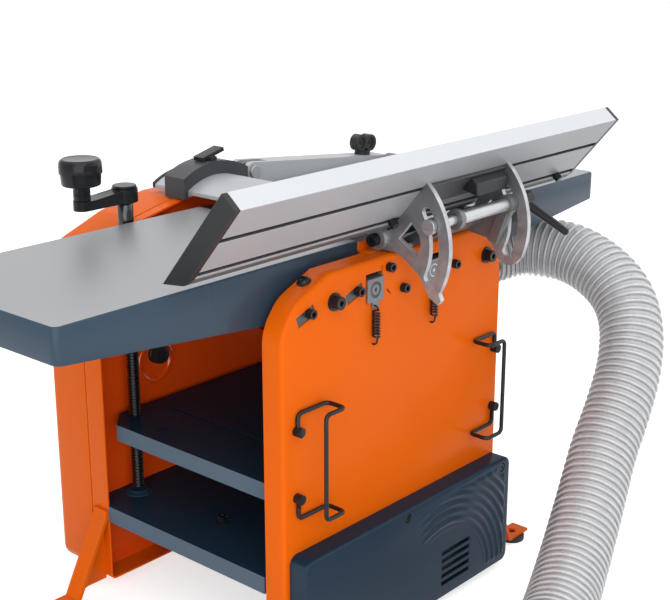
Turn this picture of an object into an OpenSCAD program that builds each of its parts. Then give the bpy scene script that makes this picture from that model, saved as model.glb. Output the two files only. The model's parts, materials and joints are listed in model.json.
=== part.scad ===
// Combination planer thicknesser: planing tables over a thicknessing table,
// tilting fence on two quadrants, bridge guard on a swing arm, dust hose.
// X runs along the tables (infeed at -X), -Y is the fence side, Z is up.

/* [Tables] */
// Length of the infeed table
infeed_l = 333; // [310:1:350]
// Length of the outfeed table
outfeed_l = 348; // [330:1:370]
// Width of both planing tables
table_w = 206; // [200:1:212]
// Height of the planing surface above the floor
table_h = 380; // [376:1:400]
// Thickness of the machined table plates
table_t = 12; // [10:0.5:14]
// Gap between the tables, over the cutter block
throat = 56; // [54:1:60]
// Depth of the casting's skirt at the outer ends
skirt_end = 30; // [26:1:36]
// Depth of the casting's skirt at its deepest
skirt_mid = 56; // [50:1:60]
// Wall of the casting's skirt
skirt_wall = 8; // [6:0.5:10]
// Set depth of cut, the infeed table below the outfeed table
cut_set = 1; // [0.5:0.1:2]

/* [Body] */
// Width of the side panels along X
body_w = 308; // [300:1:316]
// Depth of the near side panel
pan_d = 31; // [28:0.5:34]
// Depth of the far side panel
far_d = 26; // [24:0.5:30]
// Depth of the drive cover behind the far panel
cover_d = 56; // [50:1:64]
// Thickness of the panels' sheet steel
sheet = 2; // [1.5:0.1:3]
// Drop of the near panel's top below the planing surface
pan_drop = 10; // [9:0.5:12]
// Rise of the drive cover's top above the planing surface
cover_rise = 4; // [2:0.5:5]
// Height of the base plate above the floor
base_h = 96; // [94:1:100]

/* [Cutter and rollers] */
// Radius of the knives' cutting circle
cut_r = 24; // [23:0.5:25]
// Radius of the feed rollers
roller_r = 12; // [11:0.5:13]
// Distance of each feed roller from the cutter along X
roller_x = 42; // [41:0.5:44]
// Radius of the cutter shaft
shaft_r = 10; // [8:0.5:11]

/* [Thickness table] */
// Height of the thickness table above the base plate
thick_up = 84.5; // [75:0.5:95]
// Thickness of the thickness table's plate
thick_t = 4; // [3:0.5:6]
// Depth of the thickness table's rim
thick_rim = 16.5; // [14:0.5:20]
// Radius of the lifting screw
screw_r = 5.65; // [5:0.05:6.5]
// Radius of the crank arm, centre to centre
crank_l = 50; // [40:1:56]
// Radius of the crank knob
knob_r = 20; // [18:0.5:24]

/* [Fence] */
// Length of the fence with its end caps
fence_l = 535; // [500:1:560]
// Height of the fence along its face
fence_h = 105; // [98:0.5:110]
// Thickness of the fence extrusion
fence_t = 18; // [16:0.5:19]
// Lean of the fence from upright, toward -Y
fence_tilt = 40; // [30:1:44]
// Radius of the quadrant plates
sector_r = 77.5; // [75:0.5:80]
// Radius of the arc slots' centre line
slot_r = 61.5; // [60:0.5:63]
// Thickness of the quadrant plates
sector_t = 9; // [7:0.5:10]

/* [Guard] */
// Width of the bridge guard
bridge_w = 78; // [72:1:80]
// Rise of the bridge guard's arch
bridge_rise = 11; // [9:0.5:12]
// Reach of the bridge guard past the saddle
bridge_past = 21; // [16:1:30]

/* [Dust hose] */
// Outer radius over the hose's ribs
hose_r = 34; // [33.5:0.1:36]

/* [Hidden] */
$fn = 64;

// Clearances: between running faces, between moving faces, and past a cut
fit = 0.3;
run_gap = 0.6;
over = 1;

// Places that the sizes give
near_y = -table_w / 2;
far_gap = 9;
pan_y = near_y - pan_d;
pan_back = near_y - run_gap;
far_y = table_w / 2 + far_gap;
wall_y = far_y + far_d;
cover_y = wall_y + cover_d;
hw = body_w / 2;
cut_z = table_h - cut_r;
roller_z = cut_z - cut_r - over + roller_r;
pan_top = table_h - pan_drop;
cover_top = table_h + cover_rise;
base_z = base_h;
panel_foot = 14;
thick_z = base_h + thick_up;

// Boxes and round bars between two planes
module bx(x, y, z) {
  translate([x[0], y[0], z[0]])
    cube([x[1] - x[0], y[1] - y[0], z[1] - z[0]]);
}
module cx(r, x, at) {
  translate([x[0], at[0], at[1]]) rotate([0, 90, 0]) cylinder(r = r, h = x[1] - x[0]);
}
module cy(r, y, at) {
  translate([at[0], y[1], at[1]]) rotate([90, 0, 0]) cylinder(r = r, h = y[1] - y[0]);
}
module cz(r, z, at) {
  translate([at[0], at[1], z[0]]) cylinder(r = r, h = z[1] - z[0]);
}
// Outlines drawn in XZ and swept along Y, or drawn in YZ and swept along X
module along_y(y) {
  translate([0, y[1], 0]) rotate([90, 0, 0]) linear_extrude(y[1] - y[0]) children();
}
module along_x(x) {
  translate([x[0], 0, 0]) rotate([90, 0, 90]) linear_extrude(x[1] - x[0]) children();
}

// Side panels: a shouldered outline, mirrored about the cutter
pan_cut_x = [53, 17];
pan_cut_z = [40, 15];
far_cut_x = [125, 69, 24];
far_cut_z = [40, 29, 12];
function mirrored(p) =
  concat(p, [for (i = [len(p) - 1:-1:0]) [-p[i][0], p[i][1]]]);
function pan_outline(in) = mirrored([
  [-hw + in, panel_foot], [-hw + in, pan_top - pan_cut_z[0]],
  [-hw + pan_cut_x[1] + in / 2, pan_top - pan_cut_z[1] - in / 2],
  [-hw + pan_cut_x[0] + in / 2, pan_top - in]]);
function far_outline(in) = mirrored([
  [-hw + in, panel_foot], [-hw + in, cover_top - far_cut_z[0]],
  [-hw + far_cut_x[2] + in / 2, cover_top - far_cut_z[1] - in],
  [-hw + far_cut_x[1] + in / 2, cover_top - far_cut_z[2] - in],
  [-hw + far_cut_x[0] + in / 2, cover_top - in]]);

// Openings in the panels' sheet
block_w = 22.5;
block_h = 21.5;
block_slot = 4.5;
block_tab_w = 9;
block_tab_h = 6;
block_low = roller_z - block_h / 2 - fit;
tab_x = [-30, -12];
tab_h = 8;
bearing_r = 21;
notch_w = 34;
motor_x = 64;
motor_z = 48;
motor_r = 42;
motor_shaft_r = 7;
roller_shaft_r = 7;
module sheet_holes(y) {
  for (s = [-1, 1])
    bx([s * roller_x - block_w / 2 - fit, s * roller_x + block_w / 2 + fit],
      [y[0] - over, y[1] + over],
      [roller_z - block_h / 2 - fit, roller_z + block_h / 2 + block_slot]);
}
// Slanted slots with their clamp bolts off the middle
slant_l = 22.5;
slant_w = 10;
slant_tilt = 20;
slant_off = 3.5;
module slanted(i) {
  translate([bolt_xz[i][0] - slant_off, pan_y, table_h - bolt_xz[i][1] - slant_off / 2])
    rotate([0, -slant_tilt, 0]) children();
}
module near_panel() {
  color("#e2671c") {
    difference() {
      along_y([pan_y, pan_back]) polygon(pan_outline(0));
      along_y([pan_y + sheet, pan_back + over]) polygon(pan_outline(sheet));
      bx([-hw + sheet, hw - sheet], [pan_y + sheet, pan_back + over],
        [panel_foot - over, panel_foot + over]);
      sheet_holes([pan_y, pan_y + sheet]);
      for (i = [4, 5])
        slanted(i) bx([-slant_l / 2, slant_l / 2], [-over, sheet + over],
          [-slant_w / 2, slant_w / 2]);
    }
    // Upright tab that shields the cutter's end
    bx(tab_x, [pan_back - sheet, pan_back], [pan_top - sheet, pan_top + tab_h]);
  }
}

// Far panel, cut back at its top so that the lifting screw clears it
far_top_back = 12;
far_cut_drop = 90;
module far_panel() {
  color("#dd6119")
    difference() {
      along_y([far_y, wall_y]) polygon(far_outline(0));
      along_y([far_y - over, wall_y - sheet]) polygon(far_outline(sheet));
      bx([-hw + sheet, hw - sheet], [far_y - over, wall_y - sheet],
        [panel_foot - over, panel_foot + over]);
      bx([-hw - over, hw + over], [far_y - over, far_y + far_top_back],
        [cover_top - far_cut_drop, cover_top + over]);
      sheet_holes([wall_y - sheet, wall_y]);
      cy(shaft_r + run_gap, [wall_y - sheet - over, wall_y + over], [0, cut_z]);
      cy(motor_shaft_r + run_gap, [wall_y - sheet - over, wall_y + over],
        [motor_x, motor_z]);
    }
}

// Drive cover: a closed shell over the belt and the feed gears
cover_wall = 2.5;
cover_edge = 10;
cover_edge_share = 0.5;
module drive_cover() {
  color("#e86f1f") {
    bx([-hw + cover_wall, hw - cover_wall], [wall_y, cover_y - cover_edge],
      [panel_foot, panel_foot + cover_wall]);
    difference() {
      union() {
        along_y([wall_y, cover_y - cover_edge]) polygon(far_outline(0));
        along_y([wall_y, cover_y]) polygon(far_outline(cover_edge * cover_edge_share));
      }
      along_y([wall_y - over, cover_y - cover_wall])
        polygon(far_outline(cover_edge * cover_edge_share + cover_wall));
      along_y([wall_y - over, cover_y - cover_edge - cover_wall])
        polygon(far_outline(cover_wall));
    }
  }
}

// Base plate with turned-down ends, a collar for the screw
base_t = 3;
base_lip = 17;
corner_in = 42;
screw_in = 3;
screw_x = -hw + corner_in;
screw_y = far_y + screw_in;
collar_r = 13;
collar_h = 7;
module base_plate() {
  color("#33485a")
    difference() {
      union() {
        bx([-hw, hw], [pan_back + fit, far_y - fit], [base_z - base_t, base_z]);
        bx([-hw + sheet + fit, hw - sheet - fit], [pan_y + sheet, wall_y - sheet],
          [base_z - base_t, base_z]);
        for (s = [-1, 1])
          bx([s * hw - (s > 0 ? base_t : 0), s * hw + (s > 0 ? 0 : base_t)],
            [pan_back + fit, far_y - fit], [base_z - base_lip, base_z]);
        cz(collar_r, [base_z, base_z + collar_h], [screw_x, screw_y]);
      }
      cz(screw_r + fit, [base_z - base_t - over, base_z + collar_h + over],
        [screw_x, screw_y]);
    }
}

// Flared feet, one at each corner of the two panels
foot_w = 20;
foot_in = 12;
foot_y = -pan_y - foot_in;
foot_under = 5;
foot_top = base_h - foot_under;
foot_t = 3;
foot_out = 40;
foot_pad = 34;
foot_lap = 5;
rubber_h = 6;
rubber_r = 14;
bolt_r = 4.5;
foot_hole_x = hw + foot_out + foot_pad / 2;
function foot_outline() = [
  [hw, foot_top], [hw + foot_t, foot_top], [hw + foot_t, foot_top - foot_lap],
  [hw + foot_out + foot_t, rubber_h + foot_t], [hw + foot_out + foot_pad, rubber_h + foot_t],
  [hw + foot_out + foot_pad, rubber_h], [hw + foot_out, rubber_h],
  [hw, foot_top - foot_lap - foot_t]];
foot_web_share = 0.6;
module foot_brackets() {
  color("#d95f18")
    for (s = [-1, 1], t = [-1, 1])
      scale([s, 1, 1])
        difference() {
          union() {
            along_y([t * foot_y - foot_w / 2, t * foot_y + foot_w / 2])
              polygon(foot_outline());
            along_y([t * foot_y - foot_t / 2, t * foot_y + foot_t / 2])
              polygon([[hw, foot_top - foot_lap], [hw, panel_foot],
                [hw + foot_out * foot_web_share, panel_foot],
                [hw + foot_out, rubber_h + foot_t]]);
          }
          cz(bolt_r, [rubber_h - over, rubber_h + foot_t + over],
            [foot_hole_x, t * foot_y]);
        }
}
module rubber_feet() {
  color("#1c1d1f")
    for (s = [-1, 1], t = [-1, 1])
      difference() {
        cz(rubber_r, [0, rubber_h], [s * foot_hole_x, t * foot_y]);
        cz(bolt_r, [-over, rubber_h + over], [s * foot_hole_x, t * foot_y]);
      }
}

// Moulded cover over the motor end, low on the near panel
low_d = 28;
low_h = 116;
low_foot = 10;
low_top = low_foot + low_h;
low_side = 3;
low_w = body_w - 2 * low_side;
low_round = 14;
low_wall = 3;
vent_n = 7;
vent_w = 5;
vent_l = 46;
vent_pitch = 11;
screw_head_r = 4;
screw_head_h = 1.5;
low_screw_in = 11;
low_screw_x = [17, low_w / 2 - low_screw_in];
low_screw_drop = 16;
module low_block(in, y) {
  along_y(y)
    polygon([[-low_w / 2 + in, low_foot + in], [low_w / 2 - in, low_foot + in],
      [low_w / 2 - in, low_top - low_round - in / 2],
      [low_w / 2 - low_round - in / 2, low_top - in],
      [-low_w / 2 + low_round + in / 2, low_top - in],
      [-low_w / 2 + in, low_top - low_round - in / 2]]);
}
low_step = 4;
module lower_cover() {
  color("#2c4054") {
    difference() {
      union() {
        low_block(0, [pan_y - low_d + low_step, pan_y]);
        low_block(low_step, [pan_y - low_d, pan_y]);
      }
      low_block(low_step + low_wall, [pan_y - low_d + low_wall, pan_y + over]);
      for (i = [0:vent_n - 1])
        bx([motor_x - vent_l / 2, motor_x + vent_l / 2],
          [pan_y - low_d - over, pan_y - low_d + low_wall + over],
          [motor_z - vent_w / 2 + (i - (vent_n - 1) / 2) * vent_pitch,
            motor_z + vent_w / 2 + (i - (vent_n - 1) / 2) * vent_pitch]);
    }
    for (x = low_screw_x)
      cy(screw_head_r, [pan_y - low_d - screw_head_h, pan_y - low_d],
        [x, low_top - low_screw_drop]);
  }
}

// Planing tables: machined plate, tapering skirt, cross ribs and fixing lugs
skirt_inner = 19;
skirt_run = 72;
rib_t = 7;
lug_at = 36;
bearing_w = 26;
lug_gap = 5;
lug_x = [lug_at, -screw_x - throat / 2 - bearing_w / 2 - lug_gap];
lug_drop = [18, 44];
lip_share = 0.45;
module table_skirt(l, y) {
  along_y(y)
    polygon([[0, 0], [l, 0], [l, -skirt_end],
      [skirt_run, -skirt_mid], [skirt_run - skirt_wall, -skirt_inner], [0, -skirt_inner]]);
}
module table_plate(l) {
  w = table_w / 2;
  along_y([-w, w])
    polygon([[0, 0], [l, 0], [l, -table_t], [table_t, -table_t], [0, -table_t * lip_share]]);
  table_skirt(l, [-w, -w + skirt_wall]);
  table_skirt(l, [w - skirt_wall, w]);
  bx([l - skirt_wall, l], [-w, w], [-skirt_end, 0]);
  for (k = [1:2])
    bx([l * k / 3, l * k / 3 + rib_t], [-w, w], [-skirt_end, 0]);
}
module table_lugs(gap) {
  w = table_w / 2;
  bx(lug_x, [w - skirt_wall, wall_y - sheet - gap], [-lug_drop[1], -lug_drop[0]]);
  bx(lug_x, [pan_y + sheet + gap, -w + skirt_wall],
    [-lug_drop[1], -lug_drop[0]]);
}
module infeed_table() {
  color("#53677a")
    translate([-throat / 2, 0, table_h - cut_set]) scale([-1, 1, 1]) {
      table_plate(infeed_l);
      table_lugs(fit);
    }
}
module outfeed_table() {
  color("#53677a")
    translate([throat / 2, 0, table_h]) {
      table_plate(outfeed_l);
      table_lugs(0);
    }
}

// Moulded block on the outfeed table's near edge
stop_at = 176;
stop_w = 40;
stop_out = 24;
stop_z = [14, 34];
module table_block() {
  color("#1e2023")
    along_x([stop_at, stop_at + stop_w])
      polygon([[near_y, table_h - stop_z[1]], [near_y - stop_out, table_h - stop_z[1]],
        [near_y - stop_out, table_h - stop_z[0] - stop_out / 4],
        [near_y - stop_out * 3 / 4, table_h - stop_z[0]], [near_y, table_h - stop_z[0]]]);
}

// Cutter block with its knives and gib slots, carried in two bearings
knife_out = 1.2;
cut_body_r = cut_r - knife_out;
cut_end = 3;
cut_y = [near_y + cut_end, -near_y - cut_end];
knife_n = 2;
knife_t = 3;
gib_w = 11;
gib_d = 9;
bearing_t = 12;
pulley_t = 18;
pulley_r = 17;
module cutter_block() {
  color("#b4b8bd")
    difference() {
      union() {
        cy(cut_body_r, cut_y, [0, cut_z]);
        cy(shaft_r, [pan_y + sheet + fit, wall_y + fit + pulley_t], [0, cut_z]);
      }
      for (k = [0:knife_n - 1])
        translate([0, 0, cut_z]) rotate([0, k * 360 / knife_n, 0])
          bx([-gib_w / 2, gib_w / 2], [cut_y[0] - over, cut_y[1] + over],
            [cut_body_r - gib_d, cut_body_r + over]);
    }
}
module cutter_knives() {
  color("#d9dce0")
    for (k = [0:knife_n - 1])
      translate([0, 0, cut_z]) rotate([0, k * 360 / knife_n, 0]) {
        bx([-knife_t / 2, knife_t / 2], cut_y, [cut_body_r - gib_d, cut_r - fit]);
        bx([knife_t / 2, gib_w / 2 - fit], cut_y, [cut_body_r - gib_d, cut_body_r - over]);
      }
}
module cutter_bearings() {
  color("#8d9196")
    for (y = [[pan_y + sheet, pan_y + sheet + bearing_t],
        [wall_y - sheet - bearing_t, wall_y - sheet]])
      difference() {
        intersection() {
          cy(bearing_r, y, [0, cut_z]);
          bx([-bearing_r, bearing_r], y, [cut_z - bearing_r - over, pan_top - sheet]);
        }
        cy(shaft_r + fit / 2, [y[0] - over, y[1] + over], [0, cut_z]);
      }
}
module pulley(r, bore, at) {
  difference() {
    cy(r, [wall_y + fit + over, wall_y + fit + pulley_t], at);
    cy(bore, [wall_y, wall_y + fit + pulley_t + over], at);
    for (i = [1:4])
      translate([at[0], wall_y + fit + over + i * pulley_t / 6, at[1]]) rotate([-90, 0, 0])
        difference() {
          cylinder(r = r + over, h = pulley_t / 12);
          translate([0, 0, -over]) cylinder(r = r - over, h = pulley_t);
        }
  }
}
motor_pulley_r = 26;
module cutter_pulley() {
  color("#7c8085") pulley(pulley_r, shaft_r, [0, cut_z]);
}
module motor_pulley() {
  color("#7c8085") {
    pulley(motor_pulley_r, motor_shaft_r - over, [motor_x, motor_z]);
    cy(motor_shaft_r, [wall_y - sheet + fit, wall_y + pulley_t], [motor_x, motor_z]);
  }
}
// Flat ribbed belt round the two pulleys
belt_t = 2.5;
belt_gap = 0.5;
module belt_loop(add) {
  d = [motor_x, motor_z] - [0, cut_z];
  l = norm(d);
  a = atan2(d[1], d[0]);
  b = asin((motor_pulley_r - pulley_r) / l);
  r0 = pulley_r + add;
  r1 = motor_pulley_r + add;
  translate([0, cut_z]) rotate(a) {
    circle(r0);
    translate([l, 0]) circle(r1);
    polygon([[-r0 * sin(b), r0 * cos(b)], [-r0 * sin(b), -r0 * cos(b)],
      [l - r1 * sin(b), -r1 * cos(b)], [l - r1 * sin(b), r1 * cos(b)]]);
  }
}
module drive_belt() {
  color("#26282b")
    along_y([wall_y + fit + over, wall_y + fit + pulley_t])
      difference() {
        belt_loop(belt_gap + belt_t);
        belt_loop(belt_gap);
      }
}

// Motor lying under the base plate, fan end toward the near panel
motor_y = [pan_y + sheet + over, wall_y - sheet];
motor_fin = 3;
motor_fin_n = 20;
motor_end = 30;
motor_foot_w = 60;
module motor() {
  color("#3a3d41") {
    cy(motor_r - motor_fin, [motor_y[0], motor_y[1]], [motor_x, motor_z]);
    cy(motor_r, [motor_y[1] - motor_end, motor_y[1]], [motor_x, motor_z]);
    cy(motor_r, [motor_y[0], motor_y[0] + motor_end], [motor_x, motor_z]);
    for (i = [0:motor_fin_n - 1])
      translate([motor_x, 0, motor_z]) rotate([0, i * 360 / motor_fin_n, 0])
        bx([-motor_fin / 2, motor_fin / 2], [motor_y[0] + motor_end, motor_y[1] - motor_end],
          [motor_r - motor_fin - over, motor_r - over]);
    bx([motor_x - motor_foot_w / 2, motor_x + motor_foot_w / 2],
      [motor_y[0] + motor_end, motor_y[1] - motor_end], [motor_z, base_z - base_t]);
  }
}

// Feed rollers with journals in sprung blocks
roller_end = 6;
groove_n = 16;
groove_d = 1.6;
block_out = 2;
block_in = 12;
module roller(s, grooved) {
  y = [near_y + roller_end, -near_y - roller_end];
  difference() {
    union() {
      cy(roller_r, y, [s * roller_x, roller_z]);
      cy(roller_shaft_r, [pan_y - block_out + fit, wall_y + block_out - fit],
        [s * roller_x, roller_z]);
    }
    if (grooved)
      for (i = [0:groove_n - 1])
        translate([s * roller_x, 0, roller_z]) rotate([0, i * 360 / groove_n, 0])
          bx([-groove_d / 2, groove_d / 2], [y[0] - over, y[1] + over],
            [roller_r - groove_d, roller_r + over]);
  }
}
module infeed_roller() { color("#9fa3a8") roller(1, true); }
module outfeed_roller() { color("#34363a") roller(-1, false); }
module roller_blocks() {
  color("#9a9ea3") {
    // Tab of each near block, where its spring hooks on
    for (s = [-1, 1])
      bx([s * roller_x - block_tab_w / 2, s * roller_x + block_tab_w / 2],
        [pan_y - block_out, pan_y - fit], [block_low - block_tab_h, block_low + over]);
    for (s = [-1, 1], y = [[pan_y - block_out, pan_y + block_in],
        [wall_y - block_in, wall_y + block_out]])
      difference() {
        bx([s * roller_x - block_w / 2, s * roller_x + block_w / 2], y,
          [block_low, roller_z + block_h / 2]);
        cy(roller_shaft_r + fit, [y[0] - over, y[1] + over], [s * roller_x, roller_z]);
      }
  }
}

// Extension springs below the blocks, one unbroken wire each
spring_r = 3;
spring_wire = 1.4;
spring_n = 9;
spring_pitch = 2.7;
spring_rings = 8;
spring_sides = 6;
spring_y = pan_y - spring_r - spring_wire - fit;
spring_drop = 1.5;
spring_top = block_low - block_tab_h - spring_drop;
spring_top_lift = 4;
spring_eye_back = pan_y - block_out - spring_y;
spring_end_back = pan_y - spring_y;
function helix_point(i) = [spring_r * cos(360 * i / spring_rings),
  spring_r * sin(360 * i / spring_rings), -spring_pitch * i / spring_rings];
function helix_tangent(i) =
  let (a = 360 * i / spring_rings, c = 2 * PI * spring_r)
  [-sin(a) * c, cos(a) * c, -spring_pitch] / norm([c, spring_pitch]);
helix_count = spring_n * spring_rings;
function helix_ring(i) =
  let (a = 360 * i / spring_rings, n = [cos(a), sin(a), 0], b = cross(helix_tangent(i), n))
  [for (k = [0:spring_sides - 1])
    helix_point(i) + spring_wire / 2 * (cos(360 * k / spring_sides) * n
      + sin(360 * k / spring_sides) * b)];
helix_pts = [for (i = [0:helix_count]) each helix_ring(i)];
function tube_faces(rings, sides) = concat(
  [for (i = [0:rings - 2], k = [0:sides - 1])
    [i * sides + k, (i + 1) * sides + k, i * sides + (k + 1) % sides]],
  [for (i = [0:rings - 2], k = [0:sides - 1])
    [i * sides + (k + 1) % sides, (i + 1) * sides + k, (i + 1) * sides + (k + 1) % sides]],
  [for (k = [1:sides - 2]) [0, k, k + 1]],
  [for (k = [1:sides - 2])
    [(rings - 1) * sides, (rings - 1) * sides + k + 1, (rings - 1) * sides + k]]);
spring_gap = min([for (i = [0:helix_count - spring_rings])
  norm(helix_point(i) - helix_point(i + spring_rings))]) - spring_wire;
echo(least_spring_gap = spring_gap);
module roller_springs() {
  color("#6d7176")
    for (s = [-1, 1])
      translate([s * roller_x, spring_y, spring_top]) {
        polyhedron(points = helix_pts, faces = tube_faces(helix_count + 1, spring_sides));
        // Straight hook ends: one hung on the block, one in the panel
        translate([spring_r, 0, 0]) cylinder(r = spring_wire / 2, h = spring_top_lift);
        cy(spring_wire / 2, [-spring_wire, spring_eye_back],
          [spring_r, spring_top_lift - spring_wire / 2]);
        cy(spring_wire / 2, [-spring_wire / 2, spring_end_back],
          [spring_r, -spring_pitch * spring_n]);
      }
}

// Thickness table: folded plate with a rim and the screw's corner eye
thick_in = 11;
thick_x = hw - thick_in;
thick_near = pan_y + sheet + over;
thick_back = 8;
thick_far = wall_y - sheet - thick_back;
thick_chamfer = 22;
thick_rib = 5;
thick_groove_w = 3;
thick_groove_d = 1;
groove_share = 0.55;
column_x = -screw_x;
column_in = 17;
column_near = pan_y + column_in;
column_r = 7;
eye_r = 13;
module thick_outline(in) {
  polygon([[-thick_x + in, thick_near + in], [thick_x - in, thick_near + in],
    [thick_x - in, thick_far - thick_chamfer - in / 2],
    [thick_x - thick_chamfer - in / 2, thick_far - in],
    [-thick_x + thick_chamfer + in / 2, thick_far - in],
    [-thick_x + in, thick_far - thick_chamfer - in / 2]]);
}
columns = [[column_x, screw_y], [-column_x, column_near], [column_x, column_near]];
module thickness_table() {
  color("#2d4254")
    difference() {
      union() {
        difference() {
          translate([0, 0, thick_z - thick_rim])
            linear_extrude(thick_rim) thick_outline(0);
          translate([0, 0, thick_z - thick_rim - over])
            linear_extrude(thick_rim - thick_t + over) thick_outline(thick_t);
        }
        for (x = [-thick_x / 2, thick_x / 2])
          bx([x - thick_rib / 2, x + thick_rib / 2],
            [thick_near + thick_t, thick_far - thick_t], [thick_z - thick_rim, thick_z - over]);
        for (p = columns)
          cz(eye_r, [thick_z - thick_rim, thick_z - over], p);
      }
      for (p = columns)
        cz(column_r + fit, [thick_z - thick_rim - over, thick_z + over], p);
      cz(screw_r + over, [thick_z - thick_rim - over, thick_z + over], [screw_x, screw_y]);
      for (x = [-thick_x * groove_share, thick_x * groove_share])
        bx([x, x + thick_groove_w], [near_y, -near_y],
          [thick_z - thick_groove_d, thick_z + over]);
    }
}
nut_r = 8.6;
nut_h = thick_rim - thick_t;
module lift_nut() {
  color("#a8884a")
    difference() {
      cz(nut_r, [thick_z - thick_t - nut_h, thick_z - thick_t], [screw_x, screw_y]);
      cz(screw_r + fit, [thick_z - thick_t - nut_h - over, thick_z], [screw_x, screw_y]);
    }
}

// Lifting screw, its top bearing and the crank
bearing_drop = 46;
bearing_z = table_h - bearing_drop;
bearing_h = 16;
sleeve_r = 7.5;
crank_rise = 16.5;
crank_z = table_h + crank_rise;
crank_t = 13;
hub_r = 12.5;
tip_r = 8.5;
cap_r = 11.5;
cap_h = 3;
stem_r = 8;
stem_h = 14;
knob_h = 25;
knob_edge = 4;
module lift_screw() {
  color("#232528") {
    cz(screw_r, [base_z - base_t, bearing_z + over], [screw_x, screw_y]);
    cz(sleeve_r, [bearing_z + bearing_h + fit, crank_z], [screw_x, screw_y]);
    cz(screw_r, [bearing_z, crank_z + crank_t], [screw_x, screw_y]);
  }
}
module screw_bearing() {
  color("#2b2d30")
    difference() {
      bx([screw_x - bearing_w / 2, screw_x + bearing_w / 2],
        [screw_y - bearing_w / 2 + over, wall_y - sheet], [bearing_z, bearing_z + bearing_h]);
      cz(screw_r + fit, [bearing_z - over, bearing_z + bearing_h + over], [screw_x, screw_y]);
    }
}
module crank_arm() {
  color("#1f2124")
    translate([screw_x, screw_y, crank_z])
      difference() {
        union() {
          cylinder(r = hub_r, h = crank_t);
          translate([-crank_l, 0, 0]) cylinder(r = tip_r, h = crank_t * tip_share);
          rotate([90, 0, 0]) translate([0, 0, -tip_r])
            linear_extrude(2 * tip_r)
              polygon([[0, 0], [0, crank_t], [-crank_l + stem_r + fit, crank_t * tip_share],
                [-crank_l, crank_t * tip_share], [-crank_l, 0]]);
        }
        translate([0, 0, -over]) cylinder(r = screw_r, h = crank_t + 2 * over);
        translate([-crank_l, 0, -over]) cylinder(r = pin_r + fit, h = crank_t + 2 * over);
      }
}
tip_share = 0.7;
pin_r = 4;
module crank_cap() {
  color("#1f2124")
    cz(cap_r, [crank_z + crank_t, crank_z + crank_t + cap_h], [screw_x, screw_y]);
}
module crank_knob() {
  color("#1b1d20")
    translate([screw_x - crank_l, screw_y, crank_z + crank_t * tip_share + fit]) {
      rotate_extrude()
        polygon([[0, 0], [stem_r, 0], [stem_r, stem_h], [knob_r - knob_edge, stem_h],
          [knob_r, stem_h + knob_edge], [knob_r, stem_h + knob_h - knob_edge],
          [knob_r - knob_edge / 2, stem_h + knob_h - knob_edge / 3],
          [knob_r - knob_edge * 1.5, stem_h + knob_h], [0, stem_h + knob_h]]);
      translate([0, 0, -crank_t * tip_share - fit]) cylinder(r = pin_r, h = crank_t);
    }
}

// Plain columns that guide the other three corners
column_drop = 82;
column_top = table_h - column_drop;
column_arm_h = 10;
module guide_columns() {
  color("#b9bdc2")
    for (p = columns) {
      cz(column_r, [base_z, column_top], p);
      bx([p[0] - column_r, p[0] + column_r],
        p[1] > 0 ? [p[1], wall_y - sheet] : [pan_y + sheet, p[1]],
        [column_top - column_arm_h, column_top]);
    }
}

// Dust hood under the cutter: open top, sloping floor, round spigot
hood_gap = 4;
hood_x = [-30, hw - hood_gap];
hood_side = 10;
hood_w = table_w - 2 * hood_side;
hood_under = 5;
hood_share = 83 / 291;
spigot_share = 25 / 52;
hood_top = roller_z - roller_r - hood_under;
hood_floor = thick_z + (hood_top - thick_z) * hood_share;
hood_lip = 26;
hood_bend = 60;
hood_wall = 3;
spigot_z = hood_floor + (hood_top - hood_floor) * spigot_share;
spigot_r = 31;
spigot_l = 40;
hood_ear_w = 14;
hood_ear_h = 16;
hood_ear_z = [hood_top - hood_ear_h, hood_top];
module hood_outline(in) {
  polygon([[hood_x[0] + in, hood_top + in * 4], [hood_x[0] + in, hood_top - hood_lip + in / 2],
    [hood_bend + in / 2, hood_floor + in], [hood_x[1] - in, hood_floor + in],
    [hood_x[1] - in, hood_top - in], [hood_bend, hood_top - in], [hood_bend, hood_top + in * 4]]);
}
module dust_hood() {
  color("#1d1f22") {
    difference() {
      union() {
        along_y([-hood_w / 2, hood_w / 2]) hood_outline(0);
        cx(spigot_r, [hood_x[1] - over, hood_x[1] + spigot_l], [0, spigot_z]);
      }
      along_y([-hood_w / 2 + hood_wall, hood_w / 2 - hood_wall]) hood_outline(hood_wall);
      cx(spigot_r - hood_wall, [hood_x[1] - 2 * hood_wall, hood_x[1] + spigot_l + over],
        [0, spigot_z]);
    }
    bx([hood_x[1] - hood_ear_w, hw - sheet], [pan_y + sheet, -hood_w / 2 + hood_wall / 2],
      hood_ear_z);
    bx([hood_x[1] - hood_ear_w, hw - sheet], [hood_w / 2 - hood_wall / 2, wall_y - sheet],
      hood_ear_z);
  }
}
hood_knob_r = 8;
hood_knob_t = 12;
module hood_knob() {
  color("#17181a")
    cx(hood_knob_r, [hw, hw + hood_knob_t],
      [pan_y + pan_d / 2, (hood_ear_z[0] + hood_ear_z[1]) / 2]);
}

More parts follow.
